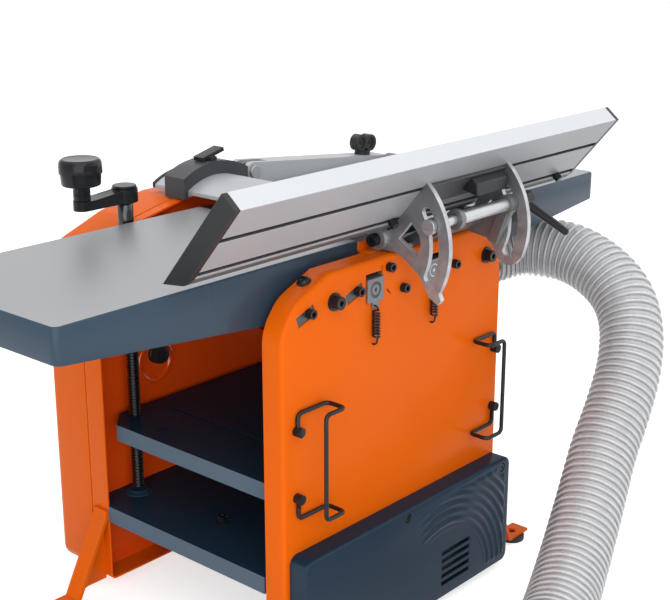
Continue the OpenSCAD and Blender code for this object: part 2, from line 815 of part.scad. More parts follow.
// Ribbed hose along a free route, one tube with its bore
route = [[172, 0, 272], [240, 0, 272], [300, -8, 280], [338, -38, 290], [354, -88, 289],
  [352, -130, 277], [341, -166, 257], [322, -190, 231], [294, -206, 198],
  [258, -216, 164], [214, -226, 130], [160, -244, 94], [96, -266, 60],
  [30, -290, 42], [-40, -312, 37], [-110, -334, 37]];
route_steps = 10;
rib_pitch = 8;
rib_share = 0.5;
hose_sides = 8;
hose_plain = 2 * hose_r;
function spline(a, b, c, d, t) = 0.5 * (2 * b + (c - a) * t + (2 * a - 5 * b + 4 * c - d) * t * t
  + (3 * b - a - 3 * c + d) * t * t * t);
route_last = len(route) - 1;
function route_at(i) = i < 0 ? 2 * route[0] - route[1]
  : i > route_last ? 2 * route[route_last] - route[route_last - 1] : route[i];
fine = concat([for (i = [0:route_last - 1], k = [0:route_steps - 1])
    spline(route_at(i - 1), route_at(i), route_at(i + 1), route_at(i + 2), k / route_steps)],
  [route[route_last]]);
fine_n = len(fine);
fine_s = [for (i = 0, s = 0; i < fine_n;
  s = i + 1 < fine_n ? s + norm(fine[i + 1] - fine[i]) : s, i = i + 1) s];
hose_len = fine_s[fine_n - 1];
function along(j) = [for (i = [0:fine_n - 1]) [fine_s[i], fine[i][j]]];
fine_x = along(0);
fine_y = along(1);
fine_z = along(2);
function hose_at(s) = [lookup(s, fine_x), lookup(s, fine_y), lookup(s, fine_z)];
function unit(v) = v / norm(v);
function hose_dir(s) = unit(hose_at(min(s + over, hose_len)) - hose_at(max(s - over, 0)));
rib_n = floor(hose_len / rib_pitch);
rib_h = 1.7;
hose_skin = 1;
hose_rings = 2 * rib_n;
function ring_s(i) = i == hose_rings - 1 ? hose_len : rib_pitch * (i / 2) * hose_len / (rib_n * rib_pitch);
function ring_r(i) = (i % 2 == 0 && i > 0 && i < hose_rings - 1) ? hose_r : hose_r - rib_h;
function hose_ring(s, r) =
  let (t = hose_dir(s), n = unit(cross(t, [0, 0, 1])), b = cross(n, t))
  [for (k = [0:hose_sides - 1])
    hose_at(s) + r * (cos(360 * k / hose_sides) * n + sin(360 * k / hose_sides) * b)];
bore_rings = 40;
bore_r = hose_r - rib_h - hose_skin;
hose_pts = concat(
  [for (i = [0:hose_rings - 1]) each hose_ring(ring_s(i), ring_r(i))],
  [for (i = [0:bore_rings - 1]) each hose_ring(hose_len * i / (bore_rings - 1), bore_r)]);
function skin(rings, sides, first, flip) =
  [for (i = [0:rings - 2], k = [0:sides - 1], h = [0:1])
    let (a = first + i * sides + k, b = first + i * sides + (k + 1) % sides,
      f = h == 0 ? [a, a + sides, b] : [b, a + sides, b + sides])
    flip ? [f[0], f[2], f[1]] : f];
function end_rim(a, b, sides, flip) =
  [for (k = [0:sides - 1], h = [0:1])
    let (f = h == 0 ? [a + k, a + (k + 1) % sides, b + k]
        : [a + (k + 1) % sides, b + (k + 1) % sides, b + k])
    flip ? [f[0], f[2], f[1]] : f];
bore_first = hose_rings * hose_sides;
hose_faces = concat(skin(hose_rings, hose_sides, 0, true),
  skin(bore_rings, hose_sides, bore_first, false),
  end_rim(0, bore_first, hose_sides, true),
  end_rim((hose_rings - 1) * hose_sides, bore_first + (bore_rings - 1) * hose_sides,
    hose_sides, false));
module dust_hose() {
  color("#dfe0e0") polyhedron(points = hose_pts, faces = hose_faces);
}
clamp_t = 2;
clamp_w = 10;
clamp_in = 28;
clamp_x = hood_x[1] + clamp_in;
module hose_clamp() {
  color("#c3c6ca")
    difference() {
      cx(hose_r + clamp_t + fit, [clamp_x, clamp_x + clamp_w], [0, spigot_z]);
      cx(hose_r + fit, [clamp_x - over, clamp_x + clamp_w + over], [0, spigot_z]);
    }
}
cuff_l = 60;
cuff_r = 36;
cuff_bore = 29;
module hose_cuff() {
  p = route[route_last];
  d = route[route_last] - route[route_last - 1];
  color("#17181a")
    translate(p) rotate([0, 0, atan2(d[1], d[0])]) rotate([0, 90, 0])
      difference() {
        cylinder(r = cuff_r, h = cuff_l);
        translate([0, 0, -over]) cylinder(r = cuff_bore, h = cuff_l + 2 * over);
      }
}

// Fence: hollow extrusion that leans about the quadrants' pivots
face_u = 15;
pivot_rise = 1.5;
pivot_y = near_y - face_u;
pivot_z = table_h + pivot_rise;
fence_x = -261;
cap_t = 6;
fence_back = face_u - fence_t;
fence_foot = -1;
fence_top = fence_foot + fence_h;
foot_rise = [17, 26];
foot_step = 2;
slot_s = [30.5, 69.5];
slot_open = 5;
slot_wide = 10;
slot_depth = 6;
fence_wall = 2.5;
module leaning() {
  translate([0, pivot_y, pivot_z]) rotate([fence_tilt, 0, 0]) children();
}
function fence_outline() = [[face_u, fence_foot], [face_u, fence_top], [fence_back, fence_top],
  [fence_back, fence_foot + foot_rise[1]], [fence_back + foot_step, fence_foot + foot_rise[0]]];
module fence_profile() {
  color("#b9bcc1")
    leaning() along_x([fence_x + cap_t, fence_x + fence_l - cap_t])
      difference() {
        polygon(fence_outline());
        for (s = slot_s) {
          translate([fence_back - over, s - slot_open / 2]) square([slot_depth, slot_open]);
          translate([fence_back + fence_wall, s - slot_wide / 2])
            square([slot_depth - fence_wall, slot_wide]);
        }
        for (k = [[slot_s[1] + slot_wide, fence_top - fence_wall],
            [slot_s[0] + slot_wide, slot_s[1] - slot_wide]])
          translate([fence_back + fence_wall, k[0]])
            square([fence_t - 2 * fence_wall, k[1] - k[0]]);
        translate([fence_back + slot_depth + fence_wall, slot_s[0] - slot_wide])
          square([fence_t - slot_depth - 2 * fence_wall, slot_wide * 2 - fence_wall]);
      }
}
module fence_caps() {
  color("#2b2d30")
    leaning()
      for (x = [fence_x, fence_x + fence_l - cap_t])
        along_x([x, x + cap_t]) polygon(fence_outline());
}

// Quadrants: arc slot, window and boss, all about the pivot
left_at = -17;
right_at = 103;
left_x = [left_at, left_at + sector_t];
right_x = [right_at, right_at + sector_t];
boss_r = 10;
boss_l = 4;
slot_angles = [109, 165];
arc_w = 10;
slot_step = 0.05;
round_end = 15;
// Outline and window in shares of the quadrant's radius
edge_shares = [[-0.10, -0.075], [-0.275, 0.07], [-0.43, 0.108], [-0.66, 0.125],
  [-0.875, 0.06], [-1.3, 0.08], [-1.3, 1.3]];
window_shares = [[-0.185, 0.215], [-0.185, 0.5], [-0.36, 0.475], [-0.46, 0.4], [-0.5, 0.265]];
round_shares = [[-0.10, -0.075], [-0.275, 0.07], [-0.43, 0.108], [-0.536, 0.1], [-0.69, 0.06],
  [-0.759, 0.232], [-1.243, 0.38], [-1.3, 1.3]];
ear_shares = [[-0.9, 0.035], [-1.06, 0.07], [-1.06, 0.14], [-0.94, 0.2]];
notch_shares = [[0.0, 0.11], [-0.07, 0.26], [-0.0387, 0.4]];
module arc_band(r0, r1, a0, a1) {
  far = 2 * r1;
  intersection() {
    difference() {
      circle(r1);
      circle(r0);
    }
    polygon([[0, 0], far * [cos(a0), sin(a0)], far * [cos((a0 + a1) / 2), sin((a0 + a1) / 2)],
      far * [cos(a1), sin(a1)]]);
  }
}
module sector_plate(x, ear) {
  along_x(x)
    difference() {
      union() {
        intersection() {
          circle(sector_r);
          union() {
            polygon(concat(sector_r * (ear ? edge_shares : round_shares),
              [[fence_back, 2 * sector_r], [fence_back, sector_r * notch_shares[2][1]],
              sector_r * notch_shares[1], sector_r * notch_shares[0]]));
            if (!ear) translate(sector_r * round_shares[5]) circle(round_end);
          }
        }
        if (ear) polygon(sector_r * ear_shares);
        circle(boss_r);
      }
      polygon(sector_r * window_shares);
      arc_band(slot_r - arc_w / 2, slot_r + arc_w / 2, slot_angles[0], slot_angles[1]);
      for (a = slot_angles)
        translate(slot_r * [cos(a), sin(a)]) circle(arc_w / 2 - slot_step);
      circle(pivot_r + fit);
    }
}
pivot_r = 4;
module sector_left() {
  color("#a9adb2")
    leaning() {
      sector_plate(left_x, true);
      difference() {
        cx(boss_r, [left_x[0] - boss_l, left_x[0]], [0, 0]);
        cx(pivot_r + fit, [left_x[0] - boss_l - over, left_x[0] + over], [0, 0]);
      }
    }
}
module sector_right() {
  color("#a9adb2") leaning() sector_plate(right_x, false);
}
tie_s = [47, 75];
tie_t = 3;
module tie_plate() {
  color("#2a2c2f")
    leaning()
      bx([left_x[1], right_x[0]], [fence_back - tie_t, fence_back], tie_s);
}
// Moulded clamp on the tie plate
wing_x = [50, 98];
wing_out = 16;
wing_s = [56, 72];
module clamp_wing() {
  color("#1e2023")
    leaning()
      along_x(wing_x)
        polygon([[fence_back - tie_t, wing_s[0]], [fence_back - tie_t, wing_s[1]],
          [fence_back - tie_t - wing_out / 2, wing_s[1]],
          [fence_back - tie_t - wing_out, (wing_s[0] + wing_s[1]) / 2]]);
}
// Screws in the lower slot that set the fence along its length
stop_x = [-27, 236];
stop_r = 4;
stop_l = 7;
module fence_stops() {
  color("#2c2e31")
    leaning()
      for (x = stop_x)
        translate([x, fence_back, slot_s[0]]) rotate([90, 0, 0]) {
          cylinder(r = stop_r, h = stop_l);
          translate([0, 0, -slot_depth / 2]) cylinder(r = slot_open / 2 - fit, h = slot_depth);
        }
}

// Fixed bracket: foot on the panel's top, pivot ears, arms to the lock rod
rod_tilt = 120.7;
rod_a = fence_tilt + rod_tilt;
rod_y = pivot_y + slot_r * cos(rod_a);
rod_z = pivot_z + slot_r * sin(rod_a);
rod_r = 4.5;
rod_sleeve = 6;
ear_t = 6;
arm_x = [16, 22];
bracket_in = 3;
bracket_y = [pan_y + bracket_in, pan_back - bracket_in];
bracket_t = 4;
rod_boss = 9;
pivot_boss = 8;
arm_w = 7;
lug_right = [right_x[0] - fit - ear_t, right_x[0] - fit];
lug_left = [left_x[1] + fit, left_x[1] + fit + ear_t];
bracket_z = pan_top + bracket_t;
module pivot_ear(x) {
  difference() {
    union() {
      along_x(x)
        polygon([[bracket_y[0], pan_top], [bracket_y[1], pan_top], [bracket_y[1], bracket_z],
          [pivot_y + pivot_boss, pivot_z], [pivot_y - pivot_boss, pivot_z],
          [bracket_y[0], bracket_z]]);
      cx(pivot_boss, x, [pivot_y, pivot_z]);
    }
    cx(pivot_r, [x[0] - over, x[1] + over], [pivot_y, pivot_z]);
  }
}
module rod_arm(x) {
  difference() {
    union() {
      along_x(x)
        polygon([[bracket_y[0], pan_top], [bracket_y[0] + 2 * arm_w, bracket_z],
          [rod_y + arm_w / 2, rod_z + arm_w], [rod_y - arm_w, rod_z], [rod_y, rod_z - arm_w]]);
      cx(rod_boss, x, [rod_y, rod_z]);
    }
    cx(rod_r + fit, [x[0] - over, x[1] + over], [rod_y, rod_z]);
  }
}
strap_run = 44.5;
strap_drop = 17;
strap_w = 10;
strap_t = 3;
strap_end = [pivot_y - strap_run, pivot_z - strap_drop];
strap_way = (strap_end - [rod_y, rod_z]) / norm(strap_end - [rod_y, rod_z]);
strap_side = strap_w / 2 * [-strap_way[1], strap_way[0]];
module cheek(x) {
  difference() {
    union() {
      along_x(x)
        polygon([[bracket_y[0], pan_top], [bracket_y[0] + 2 * arm_w, bracket_z],
          [rod_y + arm_w / 2, rod_z + arm_w], [rod_y - arm_w, rod_z],
          strap_end - strap_side, strap_end + strap_side]);
      along_x([x[0] - strap_t, x[1]])
        polygon([[rod_y, rod_z] - strap_side, [rod_y, rod_z] + strap_side,
          strap_end + strap_side, strap_end - strap_side]);
      cx(rod_boss, [x[0] - strap_t, x[1]], [rod_y, rod_z]);
    }
    cx(rod_r + fit, [x[0] - strap_t - over, x[1] + over], [rod_y, rod_z]);
  }
}
web_share = 0.45;
module fence_bracket() {
  color("#9a9ea3") {
    bx([lug_left[0], lug_right[1]], bracket_y, [pan_top, bracket_z]);
    pivot_ear(lug_left);
    pivot_ear(lug_right);
    rod_arm(arm_x);
    cheek(lug_right);
    along_x([arm_x[1] - over, lug_right[0] + over])
      polygon([[bracket_y[0], pan_top], [bracket_y[0] + arm_w, bracket_z],
        [bracket_y[0] + arm_w + (rod_y - bracket_y[0]) * web_share,
          bracket_z + (rod_z - pan_top) * web_share],
        [bracket_y[0] + (rod_y - bracket_y[0]) * web_share,
          pan_top + (rod_z - pan_top) * web_share]]);
  }
}
bolt_head_r = 5.8;
bolt_head_t = 7;
hex_r = 2.6;
hex_d = 4;
module socket_head(r, h) {
  difference() {
    cylinder(r = r, h = h);
    translate([0, 0, h - hex_d]) cylinder(r = hex_r, h = hex_d + over, $fn = 6);
  }
}
module pivot_bolts() {
  color("#202225") {
    translate([left_x[0] - boss_l - fit, pivot_y, pivot_z]) rotate([0, -90, 0])
      socket_head(bolt_head_r, bolt_head_t);
    cx(pivot_r, [left_x[0] - boss_l - fit, lug_left[1]], [pivot_y, pivot_z]);
    translate([right_x[1] + fit, pivot_y, pivot_z]) rotate([0, 90, 0])
      socket_head(bolt_head_r, bolt_head_t);
    cx(pivot_r, [lug_right[0], right_x[1] + fit], [pivot_y, pivot_z]);
  }
}
disc_r = 7;
disc_t = 5;
rod_end = 22;
module lock_rod() {
  color("#c9ccd0") {
    cx(disc_r, [left_x[0] - fit - disc_t, left_x[0] - fit], [rod_y, rod_z]);
    cx(rod_r, [left_x[0] - fit - over, right_x[1] + fit + rod_end], [rod_y, rod_z]);
    cx(rod_sleeve, [arm_x[1] + fit, lug_right[0] - strap_t - fit], [rod_y, rod_z]);
  }
}
lever_hub_r = 8;
lever_hub_l = 18;
lever_l = 54;
lever_r = [5, 3.6];
lever_splay_tilt = 38;
lever_tilt = 41;
module lock_lever() {
  x0 = right_x[1] + 2 * fit;
  color("#17181a")
    difference() {
      union() {
        cx(lever_hub_r, [x0, x0 + lever_hub_l], [rod_y, rod_z]);
        translate([x0 + lever_hub_l / 2, rod_y, rod_z]) rotate([-lever_tilt, 0, 0])
          rotate([0, 180 - lever_splay_tilt, 0]) {
            cylinder(r1 = lever_r[0], r2 = lever_r[1], h = lever_l);
            translate([0, 0, lever_l]) sphere(r = lever_r[1]);
          }
      }
      cx(rod_r + fit / 2, [x0 - over, x0 + rod_end + lever_r[0] / 2], [rod_y, rod_z]);
    }
}

// Bridge guard: arched plate that slides through a saddle on a swing arm
guard_x = 8;
saddle_in = 3;
saddle_d = 29;
saddle_y = [far_y + saddle_in, far_y + saddle_in + saddle_d];
lip_rise = 9;
lip_z = table_h + lip_rise;
lip_t = 4;
bridge_t = 3;
bridge_in = 8;
bridge_near = near_y + bridge_in;
bridge_l = saddle_y[1] + bridge_past - bridge_near;
function arc_r(w, h) = (w * w / 4 + h * h) / (2 * h);
bridge_r = arc_r(bridge_w, bridge_rise);
bridge_c = lip_z + lip_t + bridge_rise - bridge_r;
module arch(r_out, r_in, w) {
  intersection() {
    translate([guard_x, bridge_c])
      difference() {
        circle(r_out, $fn = 128);
        circle(r_in, $fn = 128);
      }
    translate([guard_x - w / 2, lip_z]) square([w, 2 * r_out]);
  }
}
module bridge_outline() {
  arch(bridge_r, bridge_r - bridge_t, bridge_w);
  for (s = [-1, 1])
    translate([guard_x + s * (bridge_w / 2 - bridge_t / 2) - bridge_t / 2, lip_z])
      square([bridge_t, lip_t]);
}
module guard_bridge() {
  color("#c2c5c9")
    along_y([bridge_near, bridge_near + bridge_l]) bridge_outline();
}
bridge_cap_t = 4;
module bridge_caps() {
  color("#222427")
    for (y = [[bridge_near - bridge_cap_t, bridge_near],
        [bridge_near + bridge_l, bridge_near + bridge_l + bridge_cap_t]])
      along_y(y) {
        arch(bridge_r + over, bridge_r - bridge_t - over, bridge_w);
        bridge_outline();
      }
}
saddle_t = 13;
saddle_wall = 5;
saddle_foot = cover_top + fit;
saddle_w = bridge_w + 2 * saddle_wall + 2 * fit;
saddle_lug = 16;
saddle_side = 15;
pin_out = 10;
pin_rise = 18;
pin_x = guard_x + saddle_w / 2 + pin_out;
pin_z = table_h + pin_rise;
pin_hole = 4;
saddle_lug_r = 9;
saddle_crown = bridge_c + bridge_r + fit + saddle_t;
clip_w = 14;
clip_l = 30;
clip_t = 4;
module guard_saddle() {
  color("#25272a")
    difference() {
      union() {
        along_y(saddle_y) {
          intersection() {
            translate([guard_x, bridge_c])
              difference() {
                circle(bridge_r + fit + saddle_t, $fn = 128);
                circle(bridge_r + fit, $fn = 128);
              }
            translate([guard_x - saddle_w / 2, saddle_foot]) square([saddle_w, 2 * bridge_r]);
          }
          translate([guard_x - saddle_w / 2, saddle_foot])
            square([saddle_wall, lip_z - saddle_foot + saddle_side]);
          translate([guard_x + saddle_w / 2 - saddle_wall, lip_z])
            square([saddle_wall, saddle_side]);
          translate([guard_x - clip_t * 2, saddle_crown - clip_t])
            square([clip_t * 4, clip_t]);
        }
        // Lug that the swing arm's fork takes
        along_y([saddle_y[0] + saddle_lug / 2, saddle_y[1] - saddle_lug / 2])
          translate([guard_x + saddle_w / 2 - over, pin_z - saddle_lug_r])
            square([pin_x - guard_x - saddle_w / 2 + over, 2 * saddle_lug_r]);
        cy(saddle_lug_r, [saddle_y[0] + saddle_lug / 2, saddle_y[1] - saddle_lug / 2],
          [pin_x, pin_z]);
      }
      cy(pin_hole + fit, [saddle_y[0], saddle_y[1]], [pin_x, pin_z]);
    }
}
clip_tilt = 14;
clip_lift = 2.5;
module saddle_clip() {
  color("#2a2c2f")
    translate([guard_x, (saddle_y[0] + saddle_y[1]) / 2, saddle_crown]) {
      rotate([0, -clip_tilt, 0])
        translate([-clip_l * clip_share, -clip_w / 2, clip_lift])
          cube([clip_l, clip_w, clip_t]);
      translate([-clip_t, -clip_w / 2 - clip_t, 0])
        cube([clip_t * 2, clip_w + clip_t * 2, clip_t]);
    }
}
clip_share = 0.35;

// Swing arm from the outfeed side, forked round the saddle's lug
arm_end_x = 282;
arm_drop = 3;
arm_end_z = table_h - arm_drop;
arm_h = 20;
arm_under = 6;
arm_end_h = 15;
arm_y = [saddle_y[0] + over, saddle_y[1] - over];
arm_wall = 4;
fork_l = 26;
module arm_outline() {
  polygon([[pin_x, pin_z + arm_h / 2], [pin_x, pin_z - arm_h / 2],
    [pin_x + over, pin_z - arm_h / 2 - arm_under],
    [arm_end_x, arm_end_z - arm_end_h / 2], [arm_end_x, arm_end_z + arm_end_h / 2]]);
  translate([pin_x, pin_z]) circle(arm_h / 2);
  translate([arm_end_x, arm_end_z]) circle(arm_end_h / 2);
}
module guard_arm() {
  color("#b3b6bb")
    difference() {
      along_y(arm_y) arm_outline();
      bx([pin_x - arm_h, pin_x + fork_l],
        [saddle_y[0] + saddle_lug / 2 - fit, saddle_y[1] - saddle_lug / 2 + fit],
        [pin_z - arm_h, pin_z + arm_h]);
      for (p = [[pin_x, pin_z], [arm_end_x, arm_end_z]])
        cy(pin_hole + fit, [arm_y[0] - over, arm_y[1] + over], p);
    }
}
pin_head_r = 7;
pin_head_t = 3;
module arm_pins() {
  color("#d5d8dc") {
    cy(pin_hole, [arm_y[0] - fit, arm_y[1] + fit], [pin_x, pin_z]);
    for (y = [[arm_y[0] - fit - pin_head_t, arm_y[0] - fit],
        [arm_y[1] + fit, arm_y[1] + fit + pin_head_t]])
      cy(pin_head_r, y, [pin_x, pin_z]);
  }
}
// Bow-shaped clamp knob on the arm
knob_x = 252;
bow_r = 9.5;
bow_t = 3.5;
bow_w = 11;
knob_hub_r = 9;
knob_hub_h = 5;
arm_slope = atan2(pin_z + arm_h / 2 - arm_end_z - arm_end_h / 2, arm_end_x - pin_x);
function arm_top(x) = arm_end_z + arm_end_h / 2 + (arm_end_x - x) * tan(arm_slope);
module wing_knob() {
  color("#1d1f22")
    translate([knob_x, (arm_y[0] + arm_y[1]) / 2, arm_top(knob_x)]) rotate([0, arm_slope, 0]) {
      translate([0, 0, fit]) cylinder(r = knob_hub_r, h = knob_hub_h);
      for (s = [-1, 1])
        translate([s * (bow_r - bow_t / 2), bow_w / 2, fit + knob_hub_h + bow_r - over])
          rotate([90, 0, 0])
            difference() {
              cylinder(r = bow_r, h = bow_w);
              translate([0, 0, -over]) cylinder(r = bow_r - bow_t, h = bow_w + 2 * over);
            }
    }
}
// Bracket on the outfeed table that the arm swings on
bracket_plate = 5;
bracket_w = 30;
bracket_low = 26;
module guard_bracket() {
  color("#7d8186") {
    bx([arm_end_x - bracket_w / 2, arm_end_x + bracket_w / 2],
      [-near_y, -near_y + bracket_plate], [arm_end_z - bracket_low, arm_end_z + fit]);
    cy(bracket_w / 3, [-near_y, arm_y[0] - fit], [arm_end_x, arm_end_z]);
    cy(pin_hole, [-near_y, arm_y[1] + fit], [arm_end_x, arm_end_z]);
    cy(pin_head_r, [arm_y[1] + fit, arm_y[1] + fit + pin_head_t], [arm_end_x, arm_end_z]);
  }
}

// Bent wire hooks for the cord on the near panel
wire_r = 2;
bend_r = 5;
hook_in = [10, 47, 23];
hook_x = [for (d = hook_in) hw - d];
hook_up = [131, 115, 53, 34];
hook_z = [for (d = hook_up) low_top + d];
hook_out = 20.5;
// Bent wire: straight runs that stop short of each corner, and round bends
module wire_run(p, q) {
  d = q - p;
  translate(p)
    rotate([0, acos(d[2] / norm(d)), atan2(d[1], d[0])]) cylinder(r = wire_r, h = norm(d));
}
module wire_bend(p, u, v) {
  c = p - bend_r * u + bend_r * v;
  w = cross(-v, u);
  multmatrix([[-v[0], u[0], w[0], c[0]], [-v[1], u[1], w[1], c[1]],
    [-v[2], u[2], w[2], c[2]], [0, 0, 0, 1]])
    rotate_extrude(angle = 90) translate([bend_r, 0]) circle(wire_r);
}
module bent_wire(a) {
  last = len(a) - 1;
  for (i = [0:last - 1]) {
    d = unit(a[i + 1] - a[i]);
    wire_run(a[i] + (i > 0 ? bend_r : 0) * d, a[i + 1] - (i < last - 1 ? bend_r : 0) * d);
  }
  for (i = [1:last - 1]) wire_bend(a[i], unit(a[i] - a[i - 1]), unit(a[i + 1] - a[i]));
}
wire_y = pan_y - wire_r - fit;
hook_eye = 4.5;
hook_bolt_t = 5;
module cord_hook() {
  a = [[hook_x[0], wire_y, hook_z[1]], [hook_x[0], wire_y, hook_z[0]],
    [hook_x[1], wire_y, hook_z[0]], [hook_x[1], wire_y - hook_out, hook_z[0]],
    [hook_x[2], wire_y - hook_out, hook_z[0]], [hook_x[2], wire_y - hook_out, hook_z[3]],
    [hook_x[1], wire_y - hook_out, hook_z[3]], [hook_x[1], wire_y, hook_z[3]],
    [hook_x[0], wire_y, hook_z[3]], [hook_x[0], wire_y, hook_z[2]]];
  bent_wire(a);
  for (z = [hook_z[1], hook_z[2]])
    cy(hook_eye, [wire_y - hook_bolt_t, pan_y], [hook_x[0], z]);
}
module cord_hook_left() { color("#1a1b1d") scale([-1, 1, 1]) cord_hook(); }
module cord_hook_right() { color("#1a1b1d") cord_hook(); }

// Socket bolts on the near panel, two of them over washers
side_in = [27, 27];
bolt_at = [-22.5, -2, 20, 74.5, -hw + side_in[0], -65];
bolt_drop = [20.5, 44, 23, 37.7, 39, 33.5];
bolt_xz = [for (i = [0:len(bolt_at) - 1]) [bolt_at[i], bolt_drop[i]]];
wash_at = [-95.5, hw - side_in[1]];
wash_drop = [36, 40];
wash_xz = [for (i = [0:1]) [wash_at[i], wash_drop[i]]];
wash_r = 8;
wash_t = 2;
small_r = 4.3;
small_t = 6;
plate_in = 0.8;
module panel_bolts() {
  color("#1f2123") {
    for (i = [0:len(bolt_xz) - 1])
      translate([bolt_xz[i][0], pan_y, table_h - bolt_xz[i][1]]) rotate([90, 0, 0]) {
        socket_head(small_r, small_t);
        if (i > 3) translate([0, 0, -plate_in]) cylinder(r = small_r / 2, h = plate_in);
      }
    for (p = wash_xz)
      translate([p[0], pan_y, table_h - p[1]]) rotate([90, 0, 0]) {
        cylinder(r = wash_r, h = wash_t);
        translate([0, 0, wash_t]) socket_head(bolt_head_r, bolt_head_t);
      }
  }
}
// Clamp plates set in the panel's two slanted slots
module slot_plates() {
  color("#5b5f64")
    for (i = [4, 5])
      slanted(i) bx([-slant_l / 2 + fit, slant_l / 2 - fit], [plate_in, sheet],
        [-slant_w / 2 + fit, slant_w / 2 - fit]);
}

// Switch on the operator's side of the drive cover
switch_w = 76;
switch_h = 58;
switch_d = 16;
switch_drop = 100;
switch_z = table_h - switch_drop;
button_r = 12;
button_out = 6;
button_in = 6;
button_x = 18;
module switch_box() {
  color("#1c1e21")
    difference() {
      bx([-switch_w / 2, switch_w / 2], [cover_y, cover_y + switch_d],
        [switch_z - switch_h / 2, switch_z + switch_h / 2]);
      for (s = [-1, 1])
        cy(button_r + fit, [cover_y + switch_d - button_in - 2 * fit, cover_y + switch_d + over],
          [s * button_x, switch_z]);
    }
}
press = 4;
module button(s) {
  cy(button_r, [cover_y + switch_d - button_in + press, cover_y + switch_d + button_out],
    [s * button_x, switch_z]);
}
module start_button() { color("#2f8f45") button(-1); }
module stop_button() { color("#c02a24") button(1); }

near_panel();
far_panel();
drive_cover();
base_plate();
foot_brackets();
rubber_feet();
lower_cover();
infeed_table();
outfeed_table();
table_block();
cutter_block();
cutter_knives();
cutter_bearings();
cutter_pulley();
drive_belt();
motor();
motor_pulley();
infeed_roller();
outfeed_roller();
roller_blocks();
roller_springs();
thickness_table();
lift_nut();
lift_screw();
screw_bearing();
crank_arm();
crank_cap();
crank_knob();
guide_columns();
dust_hood();
hood_knob();
dust_hose();
hose_clamp();
hose_cuff();
fence_profile();
fence_caps();
sector_left();
sector_right();
tie_plate();
clamp_wing();
fence_stops();
fence_bracket();
pivot_bolts();
lock_rod();
lock_lever();
guard_saddle();
saddle_clip();
guard_bridge();
bridge_caps();
guard_arm();
arm_pins();
wing_knob();
guard_bracket();
cord_hook_left();
cord_hook_right();
panel_bolts();
slot_plates();
switch_box();
start_button();
stop_button();
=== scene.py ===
import json
import math

import bmesh
import bpy
from mathutils import Matrix, Vector


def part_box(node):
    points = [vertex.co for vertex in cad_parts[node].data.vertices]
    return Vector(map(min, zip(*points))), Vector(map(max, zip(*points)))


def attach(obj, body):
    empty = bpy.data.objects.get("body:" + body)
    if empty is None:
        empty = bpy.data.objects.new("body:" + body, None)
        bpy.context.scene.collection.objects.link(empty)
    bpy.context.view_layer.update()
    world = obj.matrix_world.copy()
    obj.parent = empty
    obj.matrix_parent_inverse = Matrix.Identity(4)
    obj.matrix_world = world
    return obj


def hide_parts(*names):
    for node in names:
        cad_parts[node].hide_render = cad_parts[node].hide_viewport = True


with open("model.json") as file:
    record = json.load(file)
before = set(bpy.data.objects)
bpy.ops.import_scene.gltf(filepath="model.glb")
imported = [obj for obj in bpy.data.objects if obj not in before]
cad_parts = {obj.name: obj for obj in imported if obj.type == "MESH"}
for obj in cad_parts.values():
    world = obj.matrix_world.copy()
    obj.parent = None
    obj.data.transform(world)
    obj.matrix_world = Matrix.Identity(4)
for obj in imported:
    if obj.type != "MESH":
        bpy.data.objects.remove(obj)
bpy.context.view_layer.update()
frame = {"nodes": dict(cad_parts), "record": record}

MM = 0.001
TURN = 2 * math.pi
Y_AXIS = (0, 1, 0)
Z_AXIS = (0, 0, 1)
SCENE = bpy.context.scene
BODY_OF = {n: b for b, ns in frame["record"]["behaviour"]["bodies"].items() for n in ns}
SLOT_OF = {s["node"]: s["material_slot"] for s in frame["record"]["subparts"]}

# Camera: the photograph's own view, in metres, with its lens in pixels
CAM_AT = Vector((-0.8961, -0.8410, 0.6737))
CAM_DIR = Vector((0.7170, 0.6321, -0.2937))
CAM_SENSOR = 36.0
CAM_NEAR = 0.01
FOCAL_PX = 1320
PICTURE_WIDTH_PX = 670


def make_camera():
    data = bpy.data.cameras.new("camera")
    data.sensor_width = CAM_SENSOR
    data.lens = FOCAL_PX / PICTURE_WIDTH_PX * CAM_SENSOR
    data.clip_start = CAM_NEAR
    cam = bpy.data.objects.new("camera", data)
    cam.location = CAM_AT
    cam.rotation_euler = CAM_DIR.to_track_quat("-Z", "Y").to_euler()
    SCENE.collection.objects.link(cam)
    SCENE.camera = cam


make_camera()

# Materials: bump distances and Object coordinates are in metres
MAT = {}
SOFT = (0.15, 0.85)
FINE_BUMP = 0.0002
SKIN_BUMP = 0.0003


